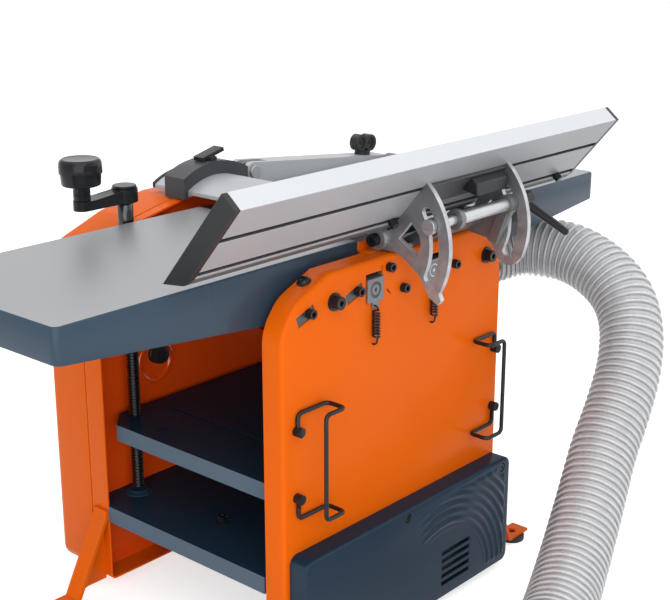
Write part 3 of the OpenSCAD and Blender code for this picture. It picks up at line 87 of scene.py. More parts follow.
class Graph:
    """A Principled material with object-space textures, kept in MAT once it is finished."""

    def __init__(self, name):
        self.name = name
        self.mat = bpy.data.materials.new(name)
        self.mat.use_nodes = True
        self.tree = self.mat.node_tree
        self.bsdf = self.tree.nodes["Principled BSDF"]
        self.coord = self.add("ShaderNodeTexCoord")

    def add(self, kind, **values):
        node = self.tree.nodes.new(kind)
        for key, value in values.items():
            setattr(node, key, value)
        return node

    def link(self, a, b):
        self.tree.links.new(a, b)

    def set(self, **values):
        """Inputs of the Principled node, with underscores for the spaces in their names."""
        for key, value in values.items():
            self.bsdf.inputs[key.replace("_", " ")].default_value = value

    def axis(self, space, letter):
        """One coordinate of the Object or the Normal space."""
        parts = self.add("ShaderNodeSeparateXYZ")
        self.link(self.coord.outputs[space], parts.inputs["Vector"])
        return parts.outputs[letter]

    def noise(self, scale, detail=4.0, stretch=(1, 1, 1), rough=0.5):
        mapping = self.add("ShaderNodeMapping")
        mapping.inputs["Scale"].default_value = stretch
        self.link(self.coord.outputs["Object"], mapping.inputs["Vector"])
        tex = self.add("ShaderNodeTexNoise")
        tex.inputs["Scale"].default_value = scale
        tex.inputs["Detail"].default_value = detail
        tex.inputs["Roughness"].default_value = rough
        self.link(mapping.outputs["Vector"], tex.inputs["Vector"])
        return tex.outputs["Fac"]

    def ramp(self, fac, stops):
        node = self.add("ShaderNodeValToRGB")
        elements = node.color_ramp.elements
        while len(elements) < len(stops):
            elements.new(0.5)
        for element, (position, color) in zip(elements, stops):
            element.position = position
            element.color = (*color, 1)
        self.link(fac, node.inputs["Fac"])
        return node.outputs["Color"]

    def tone(self, fac, color, low, high, start, end):
        """A colour that goes from low to high times its strength."""
        return self.ramp(fac, [(start, shade(color, low)), (end, shade(color, high))])

    def span(self, fac, low, high, start=0.3, end=0.7):
        node = self.add("ShaderNodeMapRange")
        for key, value in (("From Min", start), ("From Max", end),
                           ("To Min", low), ("To Max", high)):
            node.inputs[key].default_value = value
        self.link(fac, node.inputs["Value"])
        return node.outputs["Result"]

    def mix(self, fac, a, b):
        """Colour a turns into the fixed colour or socket b."""
        node = self.add("ShaderNodeMix", data_type="RGBA")
        factor, first, second = node.inputs[0], node.inputs[6], node.inputs[7]
        self.link(fac, factor)
        self.link(a, first)
        if isinstance(b, tuple):
            second.default_value = (*b, 1)
        else:
            self.link(b, second)
        return node.outputs[2]

    def blend(self, fac, a, b):
        """Value a turns into value b."""
        node = self.add("ShaderNodeMix", data_type="FLOAT")
        for value, socket in zip((fac, a, b), (node.inputs[0], node.inputs[2], node.inputs[3])):
            self.link(value, socket)
        return node.outputs[0]

    def bump(self, height, strength, distance, normal=None):
        node = self.add("ShaderNodeBump")
        node.inputs["Strength"].default_value = strength
        node.inputs["Distance"].default_value = distance
        self.link(height, node.inputs["Height"])
        if normal is not None:
            self.link(normal, node.inputs["Normal"])
        return node.outputs["Normal"]

    def out(self, color, rough, normal, metal=None):
        for value, name in ((color, "Base Color"), (rough, "Roughness"),
                            (normal, "Normal"), (metal, "Metallic")):
            if value is not None:
                self.link(value, self.bsdf.inputs[name])
        MAT[self.name] = self.mat


def shade(color, k):
    return tuple(min(1.0, c * k) for c in color)


def paint(name, color, rough=0.3, peel=0.02, spread=0.035, spec=0.3, crown=None):
    """Sprayed paint: soft orange peel, faint clouding, and crown, a painted shade on upward faces.
    """
    g = Graph(name)
    g.set(Specular_IOR_Level=spec)
    cloud = g.noise(scale=6, detail=3)
    skin = g.noise(scale=210, detail=2)
    tint = g.tone(cloud, color, 1 - spread, 1 + spread, *SOFT)
    if crown:
        tint = g.mix(g.span(g.axis("Normal", "Z"), 0, 1, start=0.45, end=0.65), tint, crown)
    g.out(tint, g.span(cloud, rough - 0.05, rough + 0.06, *SOFT), g.bump(skin, peel, SKIN_BUMP))


def plastic(name, color, rough, grain, scale=1500, spec=0.26):
    """Moulded plastic, or blackened steel, with a fine grain."""
    g = Graph(name)
    g.set(Specular_IOR_Level=spec)
    fine = g.noise(scale, detail=2)
    cloud = g.noise(scale=30)
    tint = g.tone(cloud, color, low=0.88, high=1.12, start=0.3, end=0.72)
    g.out(tint, g.span(cloud, rough - 0.06, rough + 0.08), g.bump(fine, grain, FINE_BUMP))


def metal(name, color, grain, rough=0.3, scale=14, strength=0.1, spread=0.12, metallic=1.0,
          stains=0.3, crown=None, fade=None):
    """Metal with a grain along one axis and faint stains.

    fade: x span of a painted shade, darker towards +x; crown: factor of a painted light on upward
    faces.
    """
    g = Graph(name)
    g.set(Metallic=metallic)
    lines = g.noise(scale, detail=6, stretch=grain, rough=0.65)
    stain = g.noise(scale=22)
    tint = g.tone(lines, color, 1 - spread, 1 + spread, start=0.25, end=0.75)
    tint = g.mix(g.span(stain, 0, stains, start=0.45, end=0.85), tint, shade(color, 0.8))
    if fade:
        tint = g.mix(g.span(g.axis("Object", "X"), 0, 1, *fade), tint, shade(color, 0.66))
    if crown:
        upward = g.span(g.axis("Normal", "Z"), 0, 1, start=0.68, end=0.74)
        tint = g.mix(upward, tint, shade(color, crown))
    g.out(tint, g.span(lines, rough - 0.06, rough + 0.08), g.bump(lines, strength, FINE_BUMP))


def cast(name, color, rough=0.4, fade=None):
    """Cast aluminium, rumbled smooth: pits and rubbed patches.

    fade gives the height where a painted shade starts and ends, darker towards the top.
    """
    g = Graph(name)
    g.set(Metallic=0.55)
    pits = g.noise(scale=420, detail=5)
    cloud = g.noise(scale=70, detail=5)
    fleck = g.noise(scale=260, detail=2)
    tint = g.ramp(cloud, [(0.32, shade(color, 0.72)), (0.52, color), (0.7, shade(color, 1.22))])
    tint = g.mix(g.span(fleck, 0, 0.55, start=0.64, end=0.76), tint, shade(color, 1.5))
    if fade:
        tint = g.mix(g.span(g.axis("Object", "Z"), 0, 1, *fade), tint, shade(color, 0.42))
    pitted = g.bump(pits, strength=0.22, distance=0.0004)
    g.out(tint, g.span(pits, rough - 0.1, rough + 0.12),
          g.bump(cloud, strength=0.12, distance=0.002, normal=pitted))


def table_mat(name, side, top):
    """Painted casting whose upward faces are ground bright."""
    g = Graph(name)
    g.set(Specular_IOR_Level=0.2)
    up = g.span(g.axis("Normal", "Z"), 0, 1, start=0.9, end=0.94)
    lines = g.noise(scale=10, detail=6, stretch=(2, 140, 90), rough=0.7)
    cloud = g.noise(scale=6)
    peel = g.noise(scale=180, detail=2)
    ground = g.tone(lines, top, low=0.95, high=1.05, start=0.25, end=0.75)
    ground = g.mix(g.span(cloud, 0, 0.3, *SOFT), ground, shade(top, 0.86))
    coat = g.tone(cloud, side, 0.9, 1.1, *SOFT)
    rough = g.blend(up, g.span(cloud, 0.22, 0.34, *SOFT), g.span(lines, 0.34, 0.44))
    scored = g.bump(lines, strength=0.03, distance=FINE_BUMP)
    g.out(g.mix(up, coat, ground), rough, g.bump(peel, 0.02, SKIN_BUMP, scored),
          g.span(up, 0, 0.5, start=0, end=1))


def rubber(name, color):
    g = Graph(name)
    fine = g.noise(scale=700)
    tint = g.tone(fine, color, low=0.7, high=1.6, start=0.3, end=0.75)
    g.out(tint, g.span(fine, 0.6, 0.8), g.bump(fine, strength=0.2, distance=0.0004))


def hose_mat(name, foot, wall, bead, haze):
    """Translucent wall, painted shade at the foot of each clear bead of the spiral, painted
    highlight on top.
    """
    g = Graph(name)
    g.set(Subsurface_Weight=0.06, Subsurface_Scale=0.003, Subsurface_Radius=(1, 1, 1), IOR=1.45,
          Coat_Weight=0.35, Coat_Roughness=0.12)
    rib_painted_light = g.add("ShaderNodeAttribute", attribute_name="rib_painted_light")
    cloud = g.noise(scale=90)
    fine = g.noise(scale=330, detail=3)
    tint = g.ramp(rib_painted_light.outputs["Fac"], [(0.0, foot), (0.5, wall), (1.0, bead)])
    tint = g.mix(g.span(cloud, 0, 0.45, start=0.4, end=0.75), tint, haze)
    g.out(tint, g.span(fine, 0.2, 0.38), g.bump(fine, strength=0.22, distance=0.0008))


ORANGE = (0.78, 0.126, 0.003)
# A brighter, redder orange: painted bounce light for the far housing's inner wall and its boss.
INNER_BOUNCE_ORANGE = (0.98, 0.092, 0.006)
# Painted shade colour for the upward faces of the lift table and the base plate.
LIFT_TOP_SHADE = (0.013, 0.032, 0.056)
paint("orange_paint", ORANGE, rough=0.26, spread=0.05, spec=0.06)
paint("inner_bounce_paint", INNER_BOUNCE_ORANGE, rough=0.26, spread=0.05, spec=0.06)
paint("boss_bounce_paint", INNER_BOUNCE_ORANGE, rough=0.12, spread=0.05, spec=0.7)
paint("blue_paint", (0.026, 0.046, 0.072), rough=0.2, spread=0.06, spec=0.22)
# Its crown is a painted shade on the cover's upward faces.
paint("blue_cover", (0.023, 0.041, 0.066), rough=0.2, peel=0.012, spread=0.06, spec=0.07,
      crown=(0.010, 0.024, 0.042))
# The painted shade alone, for the lift table's pad.
paint("lift_top_painted_shade", LIFT_TOP_SHADE, spread=0.06, spec=0.04)
# Lighter blue as painted highlight on the sides, with the painted shade on upward faces.
paint("lift_paint_lit_and_shaded", (0.10, 0.140, 0.186), spread=0.06, spec=0.04, crown=LIFT_TOP_SHADE)
paint("dark_iron", (0.05, 0.053, 0.058), rough=0.45, peel=0.1)
table_mat("table_casting", side=(0.033, 0.058, 0.088), top=(0.345, 0.353, 0.368))

EVEN_GRAIN = (8, 8, 8)
ROLLED_GRAIN = (1, 160, 160)
TURNED_GRAIN = (60, 2, 60)
metal("ground_steel", (0.46, 0.47, 0.48), grain=TURNED_GRAIN, metallic=0.8)
metal("knife_steel", (0.65, 0.66, 0.68), rough=0.22, grain=TURNED_GRAIN)
metal("bearing_steel", (0.17, 0.175, 0.185), rough=0.4, grain=EVEN_GRAIN, scale=40, metallic=0.6)
metal("dark_steel", (0.07, 0.072, 0.077), rough=0.42, grain=EVEN_GRAIN, scale=40, metallic=0.4)
metal("bronze", (0.58, 0.40, 0.16), grain=EVEN_GRAIN, scale=60)
metal("bright_steel", (0.37, 0.38, 0.395), rough=0.34, grain=(4, 4, 4), scale=30, strength=0.02,
      spread=0.06, metallic=0.75, stains=0.15)
metal("anodised", (0.42, 0.435, 0.455), rough=0.38, grain=ROLLED_GRAIN, scale=12, strength=0.025,
      spread=0.035, metallic=0.25, stains=0.1)
# The fence's face gets a painted highlight on upward faces and painted shade darker towards +x.
metal("fence_face_painted_light", (0.40, 0.415, 0.435), rough=0.4, grain=ROLLED_GRAIN, scale=12, strength=0.025,
      spread=0.035, metallic=0.2, stains=0.1, crown=1.45, fade=(-0.12, 0.22))
metal("slot_shade", (0.10, 0.103, 0.108), rough=0.5, grain=ROLLED_GRAIN, scale=12, strength=0.02,
      metallic=0.1)
cast("cast_aluminium", (0.285, 0.29, 0.30))
# The quadrants' casting is painted darker towards its top, as painted shade.
cast("quadrant_cast_painted_shade", (0.31, 0.325, 0.345), fade=(0.345, 0.44))
# A brighter casting colour as painted highlight on the quadrants' edges.
cast("quadrant_rim_highlight", (0.43, 0.44, 0.455), rough=0.36)
plastic("black_steel", (0.010, 0.011, 0.013), rough=0.24, grain=0.05, scale=2000)
plastic("screw_steel", (0.006, 0.0065, 0.0075), rough=0.2, grain=0.02, spec=0.7)
plastic("black_plastic", (0.018, 0.0195, 0.022), rough=0.33, grain=0.15)
plastic("saddle_plastic", (0.048, 0.050, 0.056), rough=0.33, grain=0.15)
plastic("knob_plastic", (0.012, 0.0125, 0.0145), rough=0.14, grain=0.02, spec=0.2)
plastic("green_button", (0.03, 0.30, 0.06), rough=0.25, grain=0.05)
plastic("red_button", (0.55, 0.02, 0.015), rough=0.25, grain=0.05)
rubber("black_rubber", (0.012, 0.012, 0.014))
# foot is a painted shade and bead a painted highlight; wall and haze are the hose's own tones.
hose_mat("clear_hose", foot=(0.19, 0.195, 0.205), wall=(0.50, 0.51, 0.525),
         bead=(0.66, 0.67, 0.685), haze=(0.37, 0.38, 0.395))

# Building pieces: sizes in millimetres, angles in degrees
SHARP_DEG = 35
BEVEL_DEG = 32
FLAT_DEG = 0.6
WELD_M = 2e-6
FINE_WELD_M = 1e-7
ROUND_SEGMENTS = 2
MITRE_LIMIT = 0.2
BEND_STEPS = 5
SHEET_EDGE = 0.4
LEAST_INNER_BEND = 0.6
CUTTER_SEGMENTS = 40


def finish_mesh(obj, sharp=SHARP_DEG):
    obj.data.shade_smooth()
    obj.data.set_sharp_from_angle(angle=math.radians(sharp))


def piece(name, bm, slot, body, replaced=(), sharp=SHARP_DEG, look=None):
    """A new object in the row frame that rides on a body.

    look names a finish other than the slot's own.
    """
    data = bpy.data.meshes.new(name)
    bmesh.ops.recalc_face_normals(bm, faces=bm.faces[:])
    bm.to_mesh(data)
    bm.free()
    obj = bpy.data.objects.new(name, data)
    SCENE.collection.objects.link(obj)
    data.materials.clear()
    data.materials.append(MAT[look or slot])
    finish_mesh(obj, sharp)
    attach(obj, body)
    if replaced:
        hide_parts(*replaced)
    return obj


def bake_modifiers(obj):
    """The evaluated mesh takes the place of the modifiers."""
    deps = bpy.context.evaluated_depsgraph_get()
    data = bpy.data.meshes.new_from_object(obj.evaluated_get(deps))
    obj.modifiers.clear()
    obj.data = data


def circle(centre, u, v, radius, seg):
    """Points round a centre in the plane of two unit vectors."""
    return [centre + radius * (math.cos(TURN * k / seg) * u + math.sin(TURN * k / seg) * v)
            for k in range(seg)]


def loft(bm, loops, caps=True):
    """Quads between closed loops of equal length, given in millimetres."""
    rings = [[bm.verts.new(Vector(p) * MM) for p in loop] for loop in loops]
    n = len(rings[0])
    for a, b in zip(rings, rings[1:]):
        for k in range(n):
            j = (k + 1) % n
            bm.faces.new((a[k], a[j], b[j], b[k]))
    if caps:
        bm.faces.new(rings[0][::-1])
        bm.faces.new(rings[-1])
    return rings


def rounded(points, radii, steps=5):
    """A closed outline with its corners turned into arcs; radii is one radius or one a corner."""
    out = []
    n = len(points)
    for i, p in enumerate(points):
        p = Vector(p)
        r = radii[i] if isinstance(radii, list) else radii
        if r <= 0:
            out.append(p)
            continue
        a = (Vector(points[i - 1]) - p).normalized()
        b = (Vector(points[(i + 1) % n]) - p).normalized()
        half = a.angle(b) / 2
        reach = r / math.tan(half)
        centre = p + (a + b).normalized() * (r / math.sin(half))
        start, end = p + a * reach - centre, p + b * reach - centre
        turn = start.angle_signed(end)
        for k in range(steps + 1):
            t = -turn * k / steps
            out.append(centre + Vector((start.x * math.cos(t) - start.y * math.sin(t),
                                        start.x * math.sin(t) + start.y * math.cos(t))))
    return out


def inset(points, d):
    """A closed counter-clockwise outline moved inward by d."""
    out = []
    n = len(points)
    for i in range(n):
        p, q, r = points[i - 1], points[i], points[(i + 1) % n]
        u, v = (q - p).normalized(), (r - q).normalized()
        nu, nv = Vector((-u.y, u.x)), Vector((-v.y, v.x))
        m = nu + nv
        m /= max(m.dot(nu), MITRE_LIMIT)
        out.append(q + m * d)
    return out


def pan(bm, outline, front, back, bend, sheet):
    """Folded sheet pan: face at y=front, flange to y=back, with a round bend between them."""
    s = 1 if back > front else -1
    loops = []

    def ring(d, y):
        loops.append([(p.x, y, p.y) for p in inset(outline, d)])

    for k in range(BEND_STEPS + 1):
        t = math.radians(90 * k / BEND_STEPS)
        ring(bend * (1 - math.sin(t)), front + s * bend * (1 - math.cos(t)))
    ring(0, back - s * SHEET_EDGE)
    ring(SHEET_EDGE, back)
    ring(sheet - SHEET_EDGE, back)
    ring(sheet, back - s * SHEET_EDGE)
    inner = max(bend - sheet, LEAST_INNER_BEND)
    for k in range(BEND_STEPS, -1, -1):
        t = math.radians(90 * k / BEND_STEPS)
        ring(sheet + inner * (1 - math.sin(t)),
             front + s * (sheet + inner * (1 - math.cos(t))))
    loft(bm, loops)


def box(bm, x, y, z, round_mm=0.0):
    """A box between planes, with rounded edges."""
    made = bmesh.ops.create_cube(bm, size=1.0)["verts"]
    for v in made:
        share = v.co + Vector((0.5, 0.5, 0.5))
        v.co = Vector([low + s * (high - low) for s, (low, high) in zip(share, (x, y, z))]) * MM
    if round_mm:
        edges = dict.fromkeys(e for v in made for e in v.link_edges)
        bmesh.ops.bevel(bm, geom=list(edges), offset=round_mm * MM, segments=ROUND_SEGMENTS,
                        affect="EDGES", profile=0.5)


def lathe(bm, profile, at, axis=Z_AXIS, seg=48):
    """A turned form: (radius, height) pairs round an axis through a point."""
    d = Vector(axis).normalized()
    u = d.orthogonal().normalized()
    v = d.cross(u)
    loft(bm, [circle(Vector(at) + d * h, u, v, r, seg) for r, h in profile])


def tube(bm, path, radius, seg):
    """A round wire along points."""
    pts = [Vector(p) for p in path]
    side = (pts[1] - pts[0]).normalized().orthogonal().normalized()
    loops = []
    for i, p in enumerate(pts):
        t = (pts[min(i + 1, len(pts) - 1)] - pts[max(i - 1, 0)]).normalized()
        side = (side - t * side.dot(t)).normalized()
        loops.append(circle(p, side, t.cross(side), radius, seg))
    loft(bm, loops)


def cut(obj, boxes=(), turned=()):
    """Openings cut through a piece: boxes (x, y, z, tilt) and turned forms (profile, at, axis)."""
    bm = bmesh.new()
    for x, y, z, *tilt in boxes:
        old = set(bm.verts)
        box(bm, x, y, z)
        if tilt:
            mid = Vector((sum(x), sum(y), sum(z))) * MM / 2
            turn = Matrix.Rotation(-math.radians(tilt[0]), 3, "Y")
            for v in set(bm.verts) - old:
                v.co = mid + turn @ (v.co - mid)
    for profile, at, axis in turned:
        lathe(bm, profile, at, axis, CUTTER_SEGMENTS)
    bmesh.ops.recalc_face_normals(bm, faces=bm.faces[:])
    data = bpy.data.meshes.new("cutter")
    bm.to_mesh(data)
    bm.free()
    tool = bpy.data.objects.new("cutter", data)
    SCENE.collection.objects.link(tool)
    mod = obj.modifiers.new("cut", "BOOLEAN")
    mod.object = tool
    mod.operation = "DIFFERENCE"
    mod.solver = "EXACT"
    bake_modifiers(obj)
    bpy.data.objects.remove(tool)
    finish_mesh(obj)


# Dust hose: its route is repeated from the source
ROUTE = [(172, 0, 272), (240, 0, 272), (300, -8, 280), (338, -38, 290), (354, -88, 289),
         (352, -130, 277), (341, -166, 257), (322, -190, 231), (294, -206, 198),
         (258, -216, 164), (214, -226, 130), (160, -244, 94), (96, -266, 60),
         (30, -290, 42), (-40, -312, 37), (-110, -334, 37)]
ROUTE_STEPS = 40
LAST_STEP_SHARE = 0.3
HOSE_R = 34.0
HOSE_SEG = 56
HOSE_PITCH = 8.5
HOSE_DEPTH = 2.7
HOSE_WALL = 0.8
HOSE_STEPS = 12

# Shares of the pitch, of the bead's half width and of the full painted light tone
BEAD_SHARE = 0.22
CREST_SHARE = 0.35
FALL_SHARE = 0.6
WALL_TONE_SHARE = 0.5
WALL_RISE_SHARE = 0.8


def smooth_route(route, steps):
    """A curve through the route's points, with steps pieces between neighbours."""
    pts = [Vector(p) for p in route]
    ext = [2 * pts[0] - pts[1]] + pts + [2 * pts[-1] - pts[-2]]
    out = []
    for i in range(len(pts) - 1):
        a, b, c, d = ext[i:i + 4]
        for k in range(steps):
            t = k / steps
            out.append(0.5 * (2 * b + (c - a) * t + (2 * a - 5 * b + 4 * c - d) * t * t
                              + (3 * b - a - 3 * c + d) * t ** 3))
    return out + [pts[-1]]


def even(points, step):
    """The same line with points a fixed step apart, and its length."""
    out, want, gone = [points[0]], step, 0.0
    for a, b in zip(points, points[1:]):
        seg = (b - a).length
        while gone + seg >= want:
            out.append(a.lerp(b, (want - gone) / seg))
            want += step
        gone += seg
    if (out[-1] - points[-1]).length > step * LAST_STEP_SHARE:
        out.append(points[-1])
    else:
        out[-1] = points[-1]
    return out, gone


def hose_rib(phase):
    """Height of the wall in the spiral, 0 to 1, and its tone: painted shade at the bead's foot,
    highlight on top.
    """
    u = abs(phase - 0.5) / BEAD_SHARE
    tone = 1.0 - min(1.0, max(0.0, (u - CREST_SHARE) / FALL_SHARE))
    if u >= 1:
        tone = min(WALL_TONE_SHARE, (u - 1) * WALL_RISE_SHARE)
    return math.sqrt(max(0.0, 1 - u * u)), tone


def make_hose():
    """Tube with a spiral bead outside and a smooth bore."""
    line, length = even(smooth_route(ROUTE, ROUTE_STEPS), HOSE_PITCH / HOSE_STEPS)
    bm = bmesh.new()
    layer = bm.verts.layers.float.new("rib_painted_light")
    bore = HOSE_R - HOSE_DEPTH - HOSE_WALL
    outer, inner, painted_tones = [], [], []
    for i, p in enumerate(line):
        t = (line[min(i + 1, len(line) - 1)] - line[max(i - 1, 0)]).normalized()
        n = t.cross(Vector(Z_AXIS)).normalized()
        b = n.cross(t)
        ring = []
        for k in range(HOSE_SEG):
            a = TURN * k / HOSE_SEG
            high, tone = hose_rib((i / HOSE_STEPS - k / HOSE_SEG) % 1.0)
            painted_tones.append(tone)
            r = HOSE_R - HOSE_DEPTH * (1 - high)
            ring.append(p + r * (math.cos(a) * n + math.sin(a) * b))
        outer.append(ring)
        if i % HOSE_STEPS == 0 or i == len(line) - 1:
            inner.append(circle(p, n, b, bore, HOSE_SEG))
    rings = loft(bm, outer + inner[::-1] + [outer[0]], caps=False)
    # Each outer vertex carries its painted light tone for the material.
    for vert, tone in zip((v for ring in rings for v in ring), painted_tones):
        vert[layer] = tone
    bmesh.ops.remove_doubles(bm, verts=bm.verts[:], dist=FINE_WELD_M)
    obj = piece("hose_tube", bm, "clear_hose", BODY_OF["dust_hose"], ("dust_hose",), sharp=180)
    return obj, line, length


hose, hose_line, hose_len = make_hose()

CUFF_R = 36.0
CUFF_BORE = 29.0
CUFF_L = 60.0
GRIP_R = 34.8
GRIP_N = 5
GRIP_START = 8.0
GRIP_PITCH = 7.0
GRIP_W = 4.0


def make_cuff():
    """End cuff with a rolled mouth and grip rings."""
    bm = bmesh.new()
    p, q = Vector(ROUTE[-1]), Vector(ROUTE[-2])
    d = (p - q).normalized()
    prof = [(CUFF_BORE, 0), (CUFF_R - 1, 0), (CUFF_R, 1)]
    for k in range(GRIP_N):
        h = GRIP_START + GRIP_PITCH * k
        prof += [(CUFF_R, h), (GRIP_R, h + 1), (GRIP_R, h + GRIP_W - 1), (CUFF_R, h + GRIP_W)]
    prof += [(CUFF_R, CUFF_L - 6), (CUFF_R - 0.4, CUFF_L - 2), (CUFF_R - 2, CUFF_L),
             (CUFF_BORE + 1, CUFF_L), (CUFF_BORE, CUFF_L - 1), (CUFF_BORE, 0)]
    n = d.cross(Vector(Z_AXIS)).normalized()
    b = n.cross(d)
    loft(bm, [circle(p + d * h, n, b, r, HOSE_SEG) for r, h in prof], caps=False)
    bmesh.ops.remove_doubles(bm, verts=bm.verts[:], dist=FINE_WELD_M)
    return piece("cuff_form", bm, "black_plastic", BODY_OF["hose_cuff"], ("hose_cuff",), sharp=40)


cuff = make_cuff()

# Body sheets: half width, planes across the machine, and outlines in x and z
HALF_W = 154.0
SHEET = 2.0
PAN_LEFT = -160.0
PAN_Y = -134.0
PAN_BACK = -111.0
FAR_Y = 112.0
WALL_Y = 138.0
COVER_Y = 194.0
FOOT_Z = 14.0
NEAR_BEND = 4.0
FAR_BEND = 3.0
NEAR = rounded([(PAN_LEFT, FOOT_Z), (HALF_W, FOOT_Z), (HALF_W, 330), (137, 355), (101, 370),
                (-101, 370), (-141, 353), (PAN_LEFT, 330)], [6, 6, 40, 38, 0, 0, 34, 40],
               steps=8)
ARCH = [(-HALF_W, FOOT_Z), (HALF_W, FOOT_Z), (HALF_W, 344), (130, 355), (85, 372), (29, 384),
        (-29, 384), (-85, 372), (-130, 355), (-HALF_W, 344)]
FAR = rounded(ARCH, [6, 6, 10, 20, 30, 40, 40, 30, 20, 10])
COVER = rounded(ARCH, [14, 14, 14, 20, 30, 40, 40, 30, 20, 14])

# Openings in the near panel: ranges in x, y and z, with a tilt
PUNCH_Y = (PAN_Y - 2, PAN_Y + 3)
WINDOW_X = 42.0
WINDOW_HALF = 11.6
WINDOW_Z = (331.9, 358.3)
SLOTS = ((-130.5, 339.25), (-68.5, 344.75))
SLOT_HALF_L = 11.25
SLOT_HALF_W = 5.0
SLOT_TILT = 20
TOOL_SLIT = ((-26, -17.8), PUNCH_Y, (336, 337.6), -44)
TOP_SLIT = ((-56, -43), (-129.6, -127.4), (366, 372))
CORNER_SLIT = ((-32, -30.2), (-137, -130), (356, 362.5))


def make_near_panel():
    """Folded pan with block windows, slanted slots and tool slits."""
    bm = bmesh.new()
    pan(bm, NEAR, PAN_Y, PAN_BACK, NEAR_BEND, SHEET)
    obj = piece("near_panel_form", bm, "orange_paint", "frame", ("near_panel",))
    windows = [((x - WINDOW_HALF, x + WINDOW_HALF), PUNCH_Y, WINDOW_Z)
               for x in (-WINDOW_X, WINDOW_X)]
    slots = [((x - SLOT_HALF_L, x + SLOT_HALF_L), PUNCH_Y, (z - SLOT_HALF_W, z + SLOT_HALF_W),
              SLOT_TILT) for x, z in SLOTS]
    cut(obj, windows + slots + [TOOL_SLIT, TOP_SLIT])
    cut(obj, [CORNER_SLIT])


make_near_panel()

SHIELD_X = (-30, -12)
SHIELD_ROUND = 0.6
DOME_BOLT = [(5.4, -1), (6.4, -1), (6.4, 0.8), (6.1, 1.2), (5.4, 1.3), (5.2, 2.2), (4.4, 3.5),
             (3, 4.4), (2.2, 4.6), (2, 3.2), (0.3, 3)]
DOME_BOLT_AT = (-117, -119.5, 363.2)
DOME_BOLT_AXIS = (-0.39, 0, 0.92)


def make_cutter_shield():
    """Bent tab over the cutter's end and a dome bolt on the shoulder."""
    bm = bmesh.new()
    box(bm, SHIELD_X, (-105.6, -103.6), (366, 378), SHIELD_ROUND)
    box(bm, SHIELD_X, (-118, -103.6), (367.6, 370.6), SHIELD_ROUND)
    piece("cutter_shield", bm, "orange_paint", "frame")
    bm = bmesh.new()
    lathe(bm, DOME_BOLT, DOME_BOLT_AT, DOME_BOLT_AXIS)
    piece("shoulder_bolt", bm, "black_steel", "frame")


make_cutter_shield()

FAR_INNER = WALL_Y - SHEET
FAR_CUT_BACK = ((-160, 160), (100, 124), (294, 400))
BOSS = [(24, 0.2), (23.4, -0.9), (21.6, -1.9), (19.8, -1.9), (18, -0.9), (17.4, 0.2)]
BOSS_AT = (-65, FAR_INNER, 219)
HUB = [(10.4, 0), (10.4, -3), (9.6, -3.6), (9.4, -9), (8.6, -10.6), (5.4, -11), (5, -9.6),
       (0.4, -9.4)]
HUB_AT = (-64, FAR_INNER, 227)

# A face whose normal has a y below this looks inward
INNER_SIDE = -0.9


def make_far_panel():
    """Deep folded pan, cut back at the top, with a pressed boss and its hub."""
    bm = bmesh.new()
    pan(bm, FAR, WALL_Y, FAR_Y, FAR_BEND, SHEET)
    obj = piece("far_panel_form", bm, "orange_paint", "frame", ("far_panel",))
    cut(obj, [FAR_CUT_BACK])
    # Inward faces take the brighter orange as painted bounce light.
    obj.data.materials.append(MAT["inner_bounce_paint"])
    for f in obj.data.polygons:
        f.material_index = int(f.normal.y < INNER_SIDE)
    bm = bmesh.new()
    lathe(bm, BOSS, BOSS_AT, Y_AXIS, seg=64)
    piece("far_boss", bm, "orange_paint", "frame", look="boss_bounce_paint")
    bm = bmesh.new()
    lathe(bm, HUB, HUB_AT, Y_AXIS)
    piece("far_hub", bm, "black_plastic", "frame")


make_far_panel()

COVER_BEND = 10.0
COVER_SHEET = 2.5
COVER_VENT_X = 34.0
COVER_VENT_HALF = 26.0
COVER_VENT_Y = (COVER_Y - 6, COVER_Y + 3)
COVER_VENT_Z = 44.0
COVER_VENT_H = 5.0
COVER_VENT_PITCH = 12.0
COVER_VENT_N = 7
COVER_BOLT = [(8.6, 0), (8.6, 0.9), (8.1, 1.3), (5.4, 1.3), (5.2, 1.7), (5.2, 4.6), (4.7, 5.1),
              (2.9, 5.1), (2.7, 4.7), (2.6, 2.8), (0.3, 2.6)]
COVER_BOLTS = ((134, 36), (134, 190), (96, 346))


def make_drive_cover():
    """Deep pressed cover with motor vents, held by cap screws on washers."""
    bm = bmesh.new()
    pan(bm, COVER, COVER_Y, WALL_Y, COVER_BEND, COVER_SHEET)
    obj = piece("drive_cover_form", bm, "orange_paint", "frame", ("drive_cover",))
    rows = [COVER_VENT_Z + COVER_VENT_PITCH * i for i in range(COVER_VENT_N)]
    cut(obj, [((x - COVER_VENT_HALF, x + COVER_VENT_HALF), COVER_VENT_Y, (z, z + COVER_VENT_H))
              for x in (-COVER_VENT_X, COVER_VENT_X) for z in rows])
    bm = bmesh.new()
    for x, z in COVER_BOLTS:
        for side in (-1, 1):
            lathe(bm, COVER_BOLT, (side * x, COVER_Y, z), Y_AXIS, seg=36)
    piece("cover_bolts", bm, "black_steel", "frame")


make_drive_cover()

